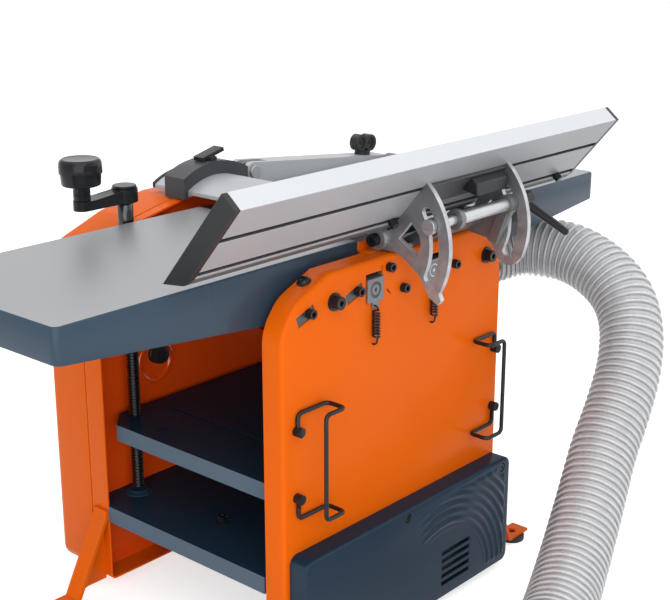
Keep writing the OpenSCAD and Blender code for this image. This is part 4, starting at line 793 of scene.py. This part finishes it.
# Lower cover over the motor end
LOW_TOP = 126.5
LOW_FOOT = 10.0
LOW_FRONT = PAN_Y - 20.0
LOW_CLEAR = 0.2
LOW_CORNER = 9.0
LOW_BEND = 2.5
LOW_SHEET = 2.4
LOW_VENT_X = (41, 87)
LOW_VENT_Y = (LOW_FRONT - 3, LOW_FRONT + 8)
LOW_VENT_Z = 26.0
LOW_VENT_HALF = 2.3
LOW_VENT_PITCH = 8.25
LOW_VENT_N = 5
LOW_SCREW_X = (-13, 140)
LOW_SCREW_Z = LOW_TOP - 9.0
LOW_HOLE = [(4.6, -3), (4.6, 2)]
LOW_SCREW = [(0.4, 1.4), (1.9, 1.4), (2.1, 0.7), (3.6, 0.7), (4.2, 1.3), (4.3, 2.6), (0.4, 2.6)]
BAFFLE = rounded([(36, 19), (92, 19), (92, 66), (36, 66)], 5)
BAFFLE_BACK = LOW_FRONT + 11.0
BAFFLE_RIM = LOW_FRONT + 2.2
BAFFLE_BEND = 3.0
BAFFLE_SHEET = 1.5


def make_lower_cover():
    """Moulded cover with vents, two sunk screws and a dark baffle behind the vents."""
    bm = bmesh.new()
    outline = rounded([(-HALF_W, LOW_FOOT), (HALF_W, LOW_FOOT), (HALF_W, LOW_TOP),
                       (-HALF_W, LOW_TOP)], LOW_CORNER, steps=8)
    pan(bm, outline, LOW_FRONT, PAN_Y - LOW_CLEAR, LOW_BEND, LOW_SHEET)
    obj = piece("lower_cover_form", bm, "blue_cover", "frame", ("lower_cover",))
    rows = [LOW_VENT_Z + LOW_VENT_PITCH * i for i in range(LOW_VENT_N)]
    vents = [(LOW_VENT_X, LOW_VENT_Y, (z - LOW_VENT_HALF, z + LOW_VENT_HALF)) for z in rows]
    seats = [(x, LOW_FRONT, LOW_SCREW_Z) for x in LOW_SCREW_X]
    cut(obj, vents, [(LOW_HOLE, seat, Y_AXIS) for seat in seats])
    bm = bmesh.new()
    for seat in seats:
        lathe(bm, LOW_SCREW, seat, Y_AXIS, seg=32)
    piece("cover_screws", bm, "black_steel", "frame")
    bm = bmesh.new()
    pan(bm, BAFFLE, BAFFLE_BACK, BAFFLE_RIM, BAFFLE_BEND, BAFFLE_SHEET)
    piece("vent_baffle", bm, "black_plastic", "frame")


make_lower_cover()

# Ripples on the lower cover: rings about a centre that fade in and out
RIPPLE_CENTRE = (44.0, 14.0)
RIPPLE_PITCH = 8.5
RIPPLE_HIGH = 0.9
RIPPLE_RAISE = 1.15
RIPPLE_SUNK = 0.25
RIPPLE_BACK = 1.2
RIPPLE_STEP = 1.25
RIPPLE_X = (0.0, 148.0)
RIPPLE_Z = (16.0, 121.0)
RIPPLE_START = (66.0, 74.0)
RIPPLE_LEFT_FADE = 30.0
RIPPLE_EDGE_FADE = 5.0
RIPPLE_SCREW_FADE = (6.0, 11.0)


def ease(value, start, end):
    """A soft step from 0 to 1."""
    t = min(1.0, max(0.0, (value - start) / (end - start)))
    return t * t * (3 - 2 * t)


def ripple_share(x, z, r):
    """How much of a ripple a place has: none by the vents, the edges and the right screw."""
    screw = math.hypot(x - LOW_SCREW_X[1], z - LOW_SCREW_Z)
    share = ease(r, *RIPPLE_START) * ease(screw, *RIPPLE_SCREW_FADE)
    share *= ease(x, RIPPLE_X[0], RIPPLE_LEFT_FADE)
    for gap in (RIPPLE_X[1] - x, RIPPLE_Z[1] - z, z - RIPPLE_Z[0]):
        share *= ease(gap, 0, RIPPLE_EDGE_FADE)
    return share


def make_cover_rings():
    """Moulded ripples round the vents that fade into the cover's face."""
    (x0, x1), (z0, z1) = RIPPLE_X, RIPPLE_Z
    nx, nz = round((x1 - x0) / RIPPLE_STEP), round((z1 - z0) / RIPPLE_STEP)
    bm = bmesh.new()
    grid, shares = {}, {}
    for i in range(nx + 1):
        for j in range(nz + 1):
            x, z = x0 + (x1 - x0) * i / nx, z0 + (z1 - z0) * j / nz
            r = math.hypot(x - RIPPLE_CENTRE[0], z - RIPPLE_CENTRE[1])
            share = ripple_share(x, z, r)
            wave = RIPPLE_RAISE + RIPPLE_HIGH * math.cos(TURN * r / RIPPLE_PITCH)
            y = LOW_FRONT + RIPPLE_SUNK - share * wave
            grid[i, j] = bm.verts.new(Vector((x, y, z)) * MM)
            shares[i, j] = share
    for i in range(nx):
        for j in range(nz):
            four = ((i, j), (i + 1, j), (i + 1, j + 1), (i, j + 1))
            if max(shares[q] for q in four) > 0:
                bm.faces.new([grid[q] for q in four])
    bmesh.ops.delete(bm, geom=[v for v in bm.verts if not v.link_faces], context="VERTS")
    shell = bmesh.ops.extrude_face_region(bm, geom=bm.faces[:], use_keep_orig=True)["geom"]
    for v in shell:
        if isinstance(v, bmesh.types.BMVert):
            v.co.y = (LOW_FRONT + RIPPLE_BACK) * MM
    piece("cover_rings", bm, "blue_cover", "frame")


make_cover_rings()

# Planing tables: lengths run out from the throat, drops go down from the ground top
TABLE_HALF = 103.0
SKIRT_WALL = 8.0
RUN_IN = 64.0
RUN_OUT = 72.0
LIP_DROP = 6.0
THROAT_DROP = 19.0
SKIRT_DROP = 56.0
SKIRT_END_DROP = 30.0
PLATE_DROP = 5.0
OUTER_CORNER = 7.0
THROAT_CORNER = 2.0
RIB_W = 7.0
RIB_DROPS = (30.0, 4.0)
RIB_ROUND = 1.0
LUG_RUN = (36.0, 66.0)
LUG_DROPS = (44.0, 18.0)
LUG_ROUND = 1.5
TOP_EDGE = ((1.9, 0.0), (1.6, 0.05), (0.35, 1.1), (0.0, 1.8))
FOOT_EDGE = ((0.0, 1.5), (0.5, 0.4), (1.6, 0.0), (7.0, 0.0), (8.0, 1.0), (8.0, 1.2))
PLATE_INSET = 8.6
NEAR_ZERO = 0.1


def make_table(name, node, inner_x, length, top_z, sign, lug_gap):
    """Casting with a chamfered ground top, a tapering skirt, two ribs and fixing lugs."""
    bm = bmesh.new()
    w = TABLE_HALF
    outline = rounded([(0, -w), (RUN_IN, -w), (RUN_OUT, -w), (length, -w), (length, w),
                       (RUN_OUT, w), (RUN_IN, w), (0, w), (0, w - SKIRT_WALL),
                       (0, -w + SKIRT_WALL)],
                      [THROAT_CORNER, 0, 0, OUTER_CORNER, OUTER_CORNER, 0, 0, THROAT_CORNER, 0, 0],
                      steps=6)

    def foot_drop(p):
        if abs(p.y) < w - SKIRT_WALL + NEAR_ZERO and p.x < 1:
            return LIP_DROP
        if p.x < RUN_IN + NEAR_ZERO:
            return THROAT_DROP
        return SKIRT_DROP - (SKIRT_DROP - SKIRT_END_DROP) * (p.x - RUN_OUT) / (length - RUN_OUT)

    def ring(d, drop):
        return [(inner_x + sign * p.x, p.y, top_z - drop) for p in inset(outline, d)]

    def foot_ring(d, lift):
        return [(inner_x + sign * p.x, p.y, top_z - foot_drop(o) + lift)
                for p, o in zip(inset(outline, d), outline)]

    loft(bm, [ring(d, drop) for d, drop in TOP_EDGE]
         + [foot_ring(d, lift) for d, lift in FOOT_EDGE] + [ring(PLATE_INSET, PLATE_DROP)])
    rib_z = [top_z - drop for drop in RIB_DROPS]
    for k in (1, 2):
        x = inner_x + sign * length * k / 3
        box(bm, sorted((x, x + sign * RIB_W)), (-w + RIB_W, w - RIB_W), rib_z, RIB_ROUND)
    lug_x = sorted(inner_x + sign * run for run in LUG_RUN)
    lug_z = [top_z - drop for drop in LUG_DROPS]
    box(bm, lug_x, (w - SKIRT_WALL, FAR_INNER - lug_gap), lug_z, LUG_ROUND)
    box(bm, lug_x, (PAN_Y + SHEET + lug_gap, -w + SKIRT_WALL), lug_z, LUG_ROUND)
    piece(name, bm, "table_casting", BODY_OF[node], (node,), sharp=30)


make_table("infeed_table_form", "infeed_table", inner_x=-28, length=333, top_z=379, sign=-1,
           lug_gap=0.3)
make_table("outfeed_table_form", "outfeed_table", inner_x=28, length=348, top_z=380, sign=1,
           lug_gap=0)

# Lifting screw and its hand knob
SCREW = (-112.0, 115.0)
THREAD_PITCH = 3.0
THREAD_DEPTH = 1.3
THREAD_R = 6.1
THREAD_Z = (93.0, 333.6)
THREAD_SEG = 32
THREAD_STEPS = 10
SLEEVE = [(5.65, 333), (5.65, 350.3), (6.9, 350.3), (7.5, 350.9), (7.5, 395.9), (6.9, 396.5),
          (5.65, 396.5), (5.65, 409.5)]


def make_screw():
    """Rolled thread below the bearing, plain sleeve above it."""
    bm = bmesh.new()
    z0, z1 = THREAD_Z
    rows = int((z1 - z0) / THREAD_PITCH * THREAD_STEPS)
    loops = []
    for i in range(rows + 1):
        z = z0 + (z1 - z0) * i / rows
        loop = []
        for k in range(THREAD_SEG):
            phase = (z / THREAD_PITCH - k / THREAD_SEG) % 1.0
            crest = math.cos(math.pi * min(phase, 1 - phase)) ** 2
            r = THREAD_R - THREAD_DEPTH * (1 - crest)
            a = TURN * k / THREAD_SEG
            loop.append((SCREW[0] + r * math.cos(a), SCREW[1] + r * math.sin(a), z))
        loops.append(loop)
    loft(bm, loops)
    lathe(bm, SLEEVE, (*SCREW, 0), seg=40)
    piece("lift_screw_form", bm, "black_steel", BODY_OF["lift_screw"], ("lift_screw",), sharp=50,
          look="screw_steel")


make_screw()

KNOB_AT = (-162, 115, 405.9)
KNOB = [(0.5, 0), (7.6, 0), (8, 0.5), (8, 5.4), (7.7, 5.7), (7.7, 6.3), (8, 6.6), (8, 12.8),
        (8.8, 13.8), (16.4, 14), (17.6, 14.6), (18.2, 16), (18.8, 24), (19, 25.2), (19.8, 25.6),
        (20, 27), (19.9, 32), (19.6, 35), (18.9, 37), (17.6, 38.3), (16.4, 38.8), (15.9, 38.6),
        (15.2, 38.5), (0.5, 38.9)]
KNOB_PIN = [(4, -9.4), (4, 0.6)]


def make_knob():
    """Smooth hand knob with a waist ring, a stepped rim and a sunk crown, on its pin."""
    bm = bmesh.new()
    lathe(bm, KNOB, KNOB_AT, seg=96)
    lathe(bm, KNOB_PIN, KNOB_AT, seg=32)
    piece("crank_knob_form", bm, "black_plastic", BODY_OF["crank_knob"], ("crank_knob",), sharp=40,
          look="knob_plastic")


make_knob()

# Springs on the near panel
SPRING_SHIFT = 2.0
SPRING_TOP = 324.45
SPRING_Y = PAN_Y - 4.3
SPRING_R = 3.0
SPRING_WIRE = 0.9
SPRING_TURNS = 9
SPRING_PITCH = 2.7
SPRING_STEPS = 20
SPRING_SEG = 8

# Hooks as steps from the coil's axis at its top and at its foot
TOP_HOOK = ((0, 1.7, 4.6), (0, 0.1, 4.4), (0, -1.0, 3.4), (1.2, -0.8, 2.0), (2.5, -0.3, 0.8))
FOOT_HOOK = ((2.6, 0.5, -1.4), (0.8, -0.5, -3.0), (0, -0.4, -5.4), (0, 1.6, -7.0), (0, 4.5, -7.0))


def make_springs():
    """Two coils with a hook at the block and a hook through the panel."""
    bm = bmesh.new()
    for block_x in (-WINDOW_X, WINDOW_X):
        top = Vector((block_x - SPRING_SHIFT, SPRING_Y, SPRING_TOP))
        foot = top - Vector((0, 0, SPRING_PITCH * SPRING_TURNS))
        coil = []
        for i in range(SPRING_TURNS * SPRING_STEPS + 1):
            a = TURN * i / SPRING_STEPS
            coil.append(top + Vector((SPRING_R * math.cos(a), SPRING_R * math.sin(a),
                                      -SPRING_PITCH * i / SPRING_STEPS)))
        tube(bm, [top + Vector(p) for p in TOP_HOOK] + coil + [foot + Vector(p) for p in FOOT_HOOK],
             SPRING_WIRE, SPRING_SEG)
    piece("roller_spring_coils", bm, "black_steel", "frame", ("roller_springs",), sharp=60)


make_springs()

# CAD forms that only get rounded edges: bevel width and segments
DRESS = {
    "base_plate": (0.5, 2), "foot_brackets": (0.6, 2), "rubber_feet": (1.0, 3),
    "cutter_block": (0.4, 2), "cutter_knives": (0.15, 1), "cutter_bearings": (0.8, 2),
    "cutter_pulley": (0.3, 1), "drive_belt": (0.4, 1), "motor": (0.8, 2),
    "motor_pulley": (0.3, 1), "infeed_roller": (0.6, 2), "outfeed_roller": (0.6, 2),
    "roller_blocks": (0.9, 2), "thickness_table": (1.2, 3), "lift_nut": (0.6, 2),
    "screw_bearing": (1.2, 2), "crank_arm": (1.4, 3), "crank_cap": (1.0, 3),
    "guide_columns": (0.6, 2), "dust_hood": (0.8, 2), "hood_knob": (1.5, 3),
    "hose_clamp": (0.5, 2), "fence_profile": (0.35, 2), "fence_caps": (0.7, 2),
    "sector_left": (1.1, 3), "sector_right": (1.1, 3), "tie_plate": (0.5, 2),
    "clamp_wing": (1.2, 3), "fence_stops": (0.6, 2), "fence_bracket": (0.9, 2),
    "pivot_bolts": (0.6, 2), "lock_rod": (0.6, 2), "lock_lever": (0.6, 2),
    "guard_saddle": (1.0, 3), "saddle_clip": (0.6, 2), "guard_bridge": (0.5, 2),
    "bridge_caps": (0.4, 2), "guard_arm": (1.6, 3), "arm_pins": (0.8, 2),
    "wing_knob": (1.0, 3), "guard_bracket": (0.8, 2), "cord_hook_left": (0, 1),
    "cord_hook_right": (0, 1), "panel_bolts": (0.6, 2), "slot_plates": (0.5, 2),
    "switch_box": (2.5, 3), "start_button": (1.2, 3), "stop_button": (1.2, 3),
    "table_block": (1.2, 2),
}

# Slots and finishes that differ from the record's
BARE = {"slot_plates": "bearing_steel"}
# Some of these finishes carry painted light: on the lift table, base plate, fence and quadrants.
LOOKS = {
    "base_plate": "lift_paint_lit_and_shaded", "thickness_table": "lift_paint_lit_and_shaded", "fence_profile": "fence_face_painted_light",
    "fence_bracket": "bearing_steel", "tie_plate": "dark_steel", "slot_plates": "dark_steel",
    "sector_left": "quadrant_cast_painted_shade", "sector_right": "quadrant_cast_painted_shade",
    "guard_saddle": "saddle_plastic", "lock_lever": "knob_plastic", "crank_arm": "knob_plastic",
    "crank_cap": "knob_plastic",
}


def dress(node, bevel, segments):
    """A copy of a CAD node with merged faces and rounded edges."""
    bm = bmesh.new()
    bm.from_mesh(frame["nodes"][node].data)
    bmesh.ops.remove_doubles(bm, verts=bm.verts[:], dist=WELD_M)
    bmesh.ops.dissolve_limit(bm, angle_limit=math.radians(FLAT_DEG), verts=bm.verts[:],
                             edges=bm.edges[:])
    slot = BARE.get(node, SLOT_OF[node])
    obj = piece(node + "_form", bm, slot, BODY_OF[node], (node,), BEVEL_DEG, LOOKS.get(node))
    if bevel:
        mod = obj.modifiers.new("bevel", "BEVEL")
        mod.width = bevel * MM
        mod.segments = segments
        mod.limit_method = "ANGLE"
        mod.angle_limit = math.radians(BEVEL_DEG)
        mod.harden_normals = True
        mod.use_clamp_overlap = True
        bake_modifiers(obj)
    return obj


FORMS = {node: dress(node, *edge) for node, edge in DRESS.items()}

SHAFT_END = [(0.3, 1.4), (1.5, 0.6), (1.9, -0.1), (4.2, -0.1), (4.4, 0.1), (5.2, 0.2), (5.3, 0.9),
             (6.2, 0.9), (6.3, 0.1), (6.8, 0.2), (6.9, 1.6), (0.3, 1.6)]
SHAFT_END_Y = PAN_Y - 2.0
SHAFT_Z = 343.0


def make_roller_ends():
    """Turned shaft ends with a groove and a centre hole, seen in the panel's windows."""
    for node, x in (("infeed_roller", WINDOW_X), ("outfeed_roller", -WINDOW_X)):
        bm = bmesh.new()
        lathe(bm, SHAFT_END, (x, SHAFT_END_Y, SHAFT_Z), Y_AXIS)
        piece(node + "_end", bm, "bearing_steel", BODY_OF[node])


make_roller_ends()

PAD_EDGE = 15.0
PAD_DEEP = 4.0


def shade_lift_pad():
    """The raised pad on the lift table and its step take the painted shade colour of the top."""
    data = FORMS["thickness_table"].data
    low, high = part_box("thickness_table")
    # The top faces get the painted shade colour.
    data.materials.append(MAT["lift_top_painted_shade"])
    for f in data.polygons:
        on_top = f.center.z > high[2] - PAD_DEEP * MM
        f.material_index = int(on_top and f.center.x > low[0] + PAD_EDGE * MM)


shade_lift_pad()

# A face whose normal has a y below this is on the fence's back
FENCE_BACK_SIDE = -0.3
FENCE_EDGE = 3.0
FENCE_SLOT_DEPTH = (0.5, 9.5)


def shade_slots():
    """The fence's rear slots get painted shade inside: faces behind its back plane, off its two
    edges.
    """
    data = FORMS["fence_profile"].data
    back = max((f for f in data.polygons if f.normal.y < FENCE_BACK_SIDE), key=lambda f: f.area)
    normal, at = back.normal.copy(), back.center.copy()
    rise = normal.cross(Vector((1, 0, 0)))
    heights = [rise.dot(v.co) for v in data.vertices]
    low, high = min(heights) + FENCE_EDGE * MM, max(heights) - FENCE_EDGE * MM
    data.materials.append(MAT["slot_shade"])
    for f in data.polygons:
        deep = normal.dot(at - f.center) / MM
        inside = FENCE_SLOT_DEPTH[0] < deep < FENCE_SLOT_DEPTH[1]
        if inside and low < rise.dot(f.center) < high:
            f.material_index = 1


shade_slots()

COLLAR_R = (9.0, 16.0)
COLLAR_TOP = 2.0
COLLAR_DROP = 3.0
COLLAR_SHARE = 0.75
STOP_BOLT = [(6.5, -0.3), (6.5, 1), (6, 1.3), (4.8, 1.3), (4.8, 5.6), (4.3, 6.1), (2.6, 6.1),
             (2.4, 5.6), (2.3, 3.4), (0.3, 3.2)]
STOP_BOLT_AT = (-103, 3, 96)


def trim_base():
    """The base plate's collar tapers to a slim top, and a stop bolt stands before it."""
    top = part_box("base_plate")[1][2]
    centre = Vector(SCREW) * MM
    for v in FORMS["base_plate"].data.vertices:
        away = v.co.xy - centre
        if v.co.z > top - COLLAR_TOP * MM and COLLAR_R[0] * MM < away.length < COLLAR_R[1] * MM:
            v.co.xy = centre + away * COLLAR_SHARE
            v.co.z -= COLLAR_DROP * MM
    bm = bmesh.new()
    lathe(bm, STOP_BOLT, STOP_BOLT_AT, seg=36)
    piece("stop_bolt", bm, "black_steel", "frame")


trim_base()

BUTTON_RING = [(0.5, -0.4), (0.5, 1.2), (0.9, 1.8), (1.8, 1.8), (2.3, 1.2), (2.3, -0.4)]
SWITCH_SCREW = [(2.3, -0.3), (2.3, 0.5), (1.9, 0.9), (1.1, 1.0), (1.0, 0.4), (0.2, 0.4)]
SWITCH_SCREW_IN = 5.0


def make_switch_trim():
    """Chrome rings round the two buttons and screws in the switch box's corners."""
    low, high = [[c / MM for c in v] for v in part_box("switch_box")]
    bm = bmesh.new()
    for node in ("start_button", "stop_button"):
        a, b = [[c / MM for c in v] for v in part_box(node)]
        r = (b[0] - a[0]) / 2
        lathe(bm, [(r + out, h) for out, h in BUTTON_RING],
              ((a[0] + b[0]) / 2, high[1], (a[2] + b[2]) / 2), Y_AXIS)
    piece("button_rings", bm, "bright_steel", BODY_OF["switch_box"])
    bm = bmesh.new()
    for x in (low[0] + SWITCH_SCREW_IN, high[0] - SWITCH_SCREW_IN):
        for z in (low[2] + SWITCH_SCREW_IN, high[2] - SWITCH_SCREW_IN):
            lathe(bm, SWITCH_SCREW, (x, high[1], z), Y_AXIS, seg=24)
    piece("switch_screws", bm, "bearing_steel", BODY_OF["switch_box"])


make_switch_trim()

QUADRANTS = ("sector_left", "sector_right")
QUADRANT_PLATE = 9.0
QUADRANT_SEEN = 5.0
TIE_END = 2.0

# A face whose normal has an x under this is an edge
FLAT_SIDE = 0.95


def thin_quadrants():
    """The quadrants' castings are hollow behind: only their front plate shows."""
    for node in QUADRANTS:
        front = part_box(node)[1][0] - QUADRANT_PLATE * MM
        for v in FORMS[node].data.vertices:
            if v.co.x > front:
                v.co.x = front + (v.co.x - front) * QUADRANT_SEEN / QUADRANT_PLATE
    for v in FORMS["tie_plate"].data.vertices:
        if v.co.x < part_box("tie_plate")[0][0] + TIE_END * MM:
            v.co.x -= (QUADRANT_PLATE - QUADRANT_SEEN) * MM


thin_quadrants()


def highlight_quadrant_rims():
    """The quadrants' edges get a brighter casting colour as painted highlight, their flat faces
    stay dull.
    """
    for node in QUADRANTS:
        data = FORMS[node].data
        data.update()
        data.materials.append(MAT["quadrant_rim_highlight"])
        for f in data.polygons:
            f.material_index = int(abs(f.normal.x) < FLAT_SIDE)


highlight_quadrant_rims()

# Stage and light, in metres and watts
FLOOR_HALF = 12.0
FLOOR_COLOR = (0.86, 0.86, 0.87, 1)
FLOOR_GLOW = 0.62
WORLD_LIGHT = 0.42
WORLD_SEEN = 1.0
WHITE = (1, 1, 1, 1)


def seen(tree, unseen, value):
    """One strength for what is seen straight, mirrored or through glass, one for the rest."""
    path = tree.nodes.new("ShaderNodeLightPath")
    total = path.outputs["Is Camera Ray"]
    for ray in ("Is Glossy Ray", "Is Transmission Ray"):
        both = tree.nodes.new("ShaderNodeMath")
        both.operation = "MAXIMUM"
        tree.links.new(total, both.inputs[0])
        tree.links.new(path.outputs[ray], both.inputs[1])
        total = both.outputs[0]
    span = tree.nodes.new("ShaderNodeMapRange")
    span.inputs["To Min"].default_value = unseen
    span.inputs["To Max"].default_value = value
    tree.links.new(total, span.inputs["Value"])
    return span.outputs["Result"]


def make_stage():
    """A white floor that fades into the background."""
    bm = bmesh.new()
    corners = ((-1, -1), (1, -1), (1, 1), (-1, 1))
    bm.faces.new([bm.verts.new((x * FLOOR_HALF, y * FLOOR_HALF, 0)) for x, y in corners])
    data = bpy.data.meshes.new("floor")
    bm.to_mesh(data)
    bm.free()
    floor = bpy.data.objects.new("floor", data)
    SCENE.collection.objects.link(floor)
    mat = bpy.data.materials.new("floor")
    mat.use_nodes = True
    tree = mat.node_tree
    bsdf = tree.nodes["Principled BSDF"]
    for key, value in (("Roughness", 0.9), ("Specular IOR Level", 0.1),
                       ("Base Color", FLOOR_COLOR), ("Emission Color", WHITE)):
        bsdf.inputs[key].default_value = value
    tree.links.new(seen(tree, 0.0, FLOOR_GLOW), bsdf.inputs["Emission Strength"])
    data.materials.append(mat)


make_stage()


def make_world():
    world = bpy.data.worlds.new("world")
    SCENE.world = world
    world.use_nodes = True
    tree = world.node_tree
    back = tree.nodes["Background"]
    back.inputs["Color"].default_value = WHITE
    tree.links.new(seen(tree, WORLD_LIGHT, WORLD_SEEN), back.inputs["Strength"])


make_world()


def lamp(name, at, aim, power, width, height):
    data = bpy.data.lights.new(name, "AREA")
    data.energy = power
    data.shape = "RECTANGLE"
    data.size = width
    data.size_y = height
    obj = bpy.data.objects.new(name, data)
    obj.location = at
    obj.rotation_euler = (Vector(aim) - Vector(at)).to_track_quat("-Z", "Y").to_euler()
    SCENE.collection.objects.link(obj)


MIDDLE = (0, 0, 0.3)
lamp("key", at=(-1.3, -1.5, 2.2), aim=MIDDLE, power=42, width=2.6, height=2.6)
lamp("top", at=(0.3, 0.4, 2.4), aim=MIDDLE, power=26, width=3.0, height=3.0)
lamp("side", at=(1.8, -1.2, 1.2), aim=MIDDLE, power=11, width=2.2, height=2.2)
lamp("left", at=(-1.6, -1.3, 0.5), aim=(-0.05, 0.1, 0.2), power=13, width=2.0, height=0.9)

SCENE.view_settings.view_transform = "Standard"
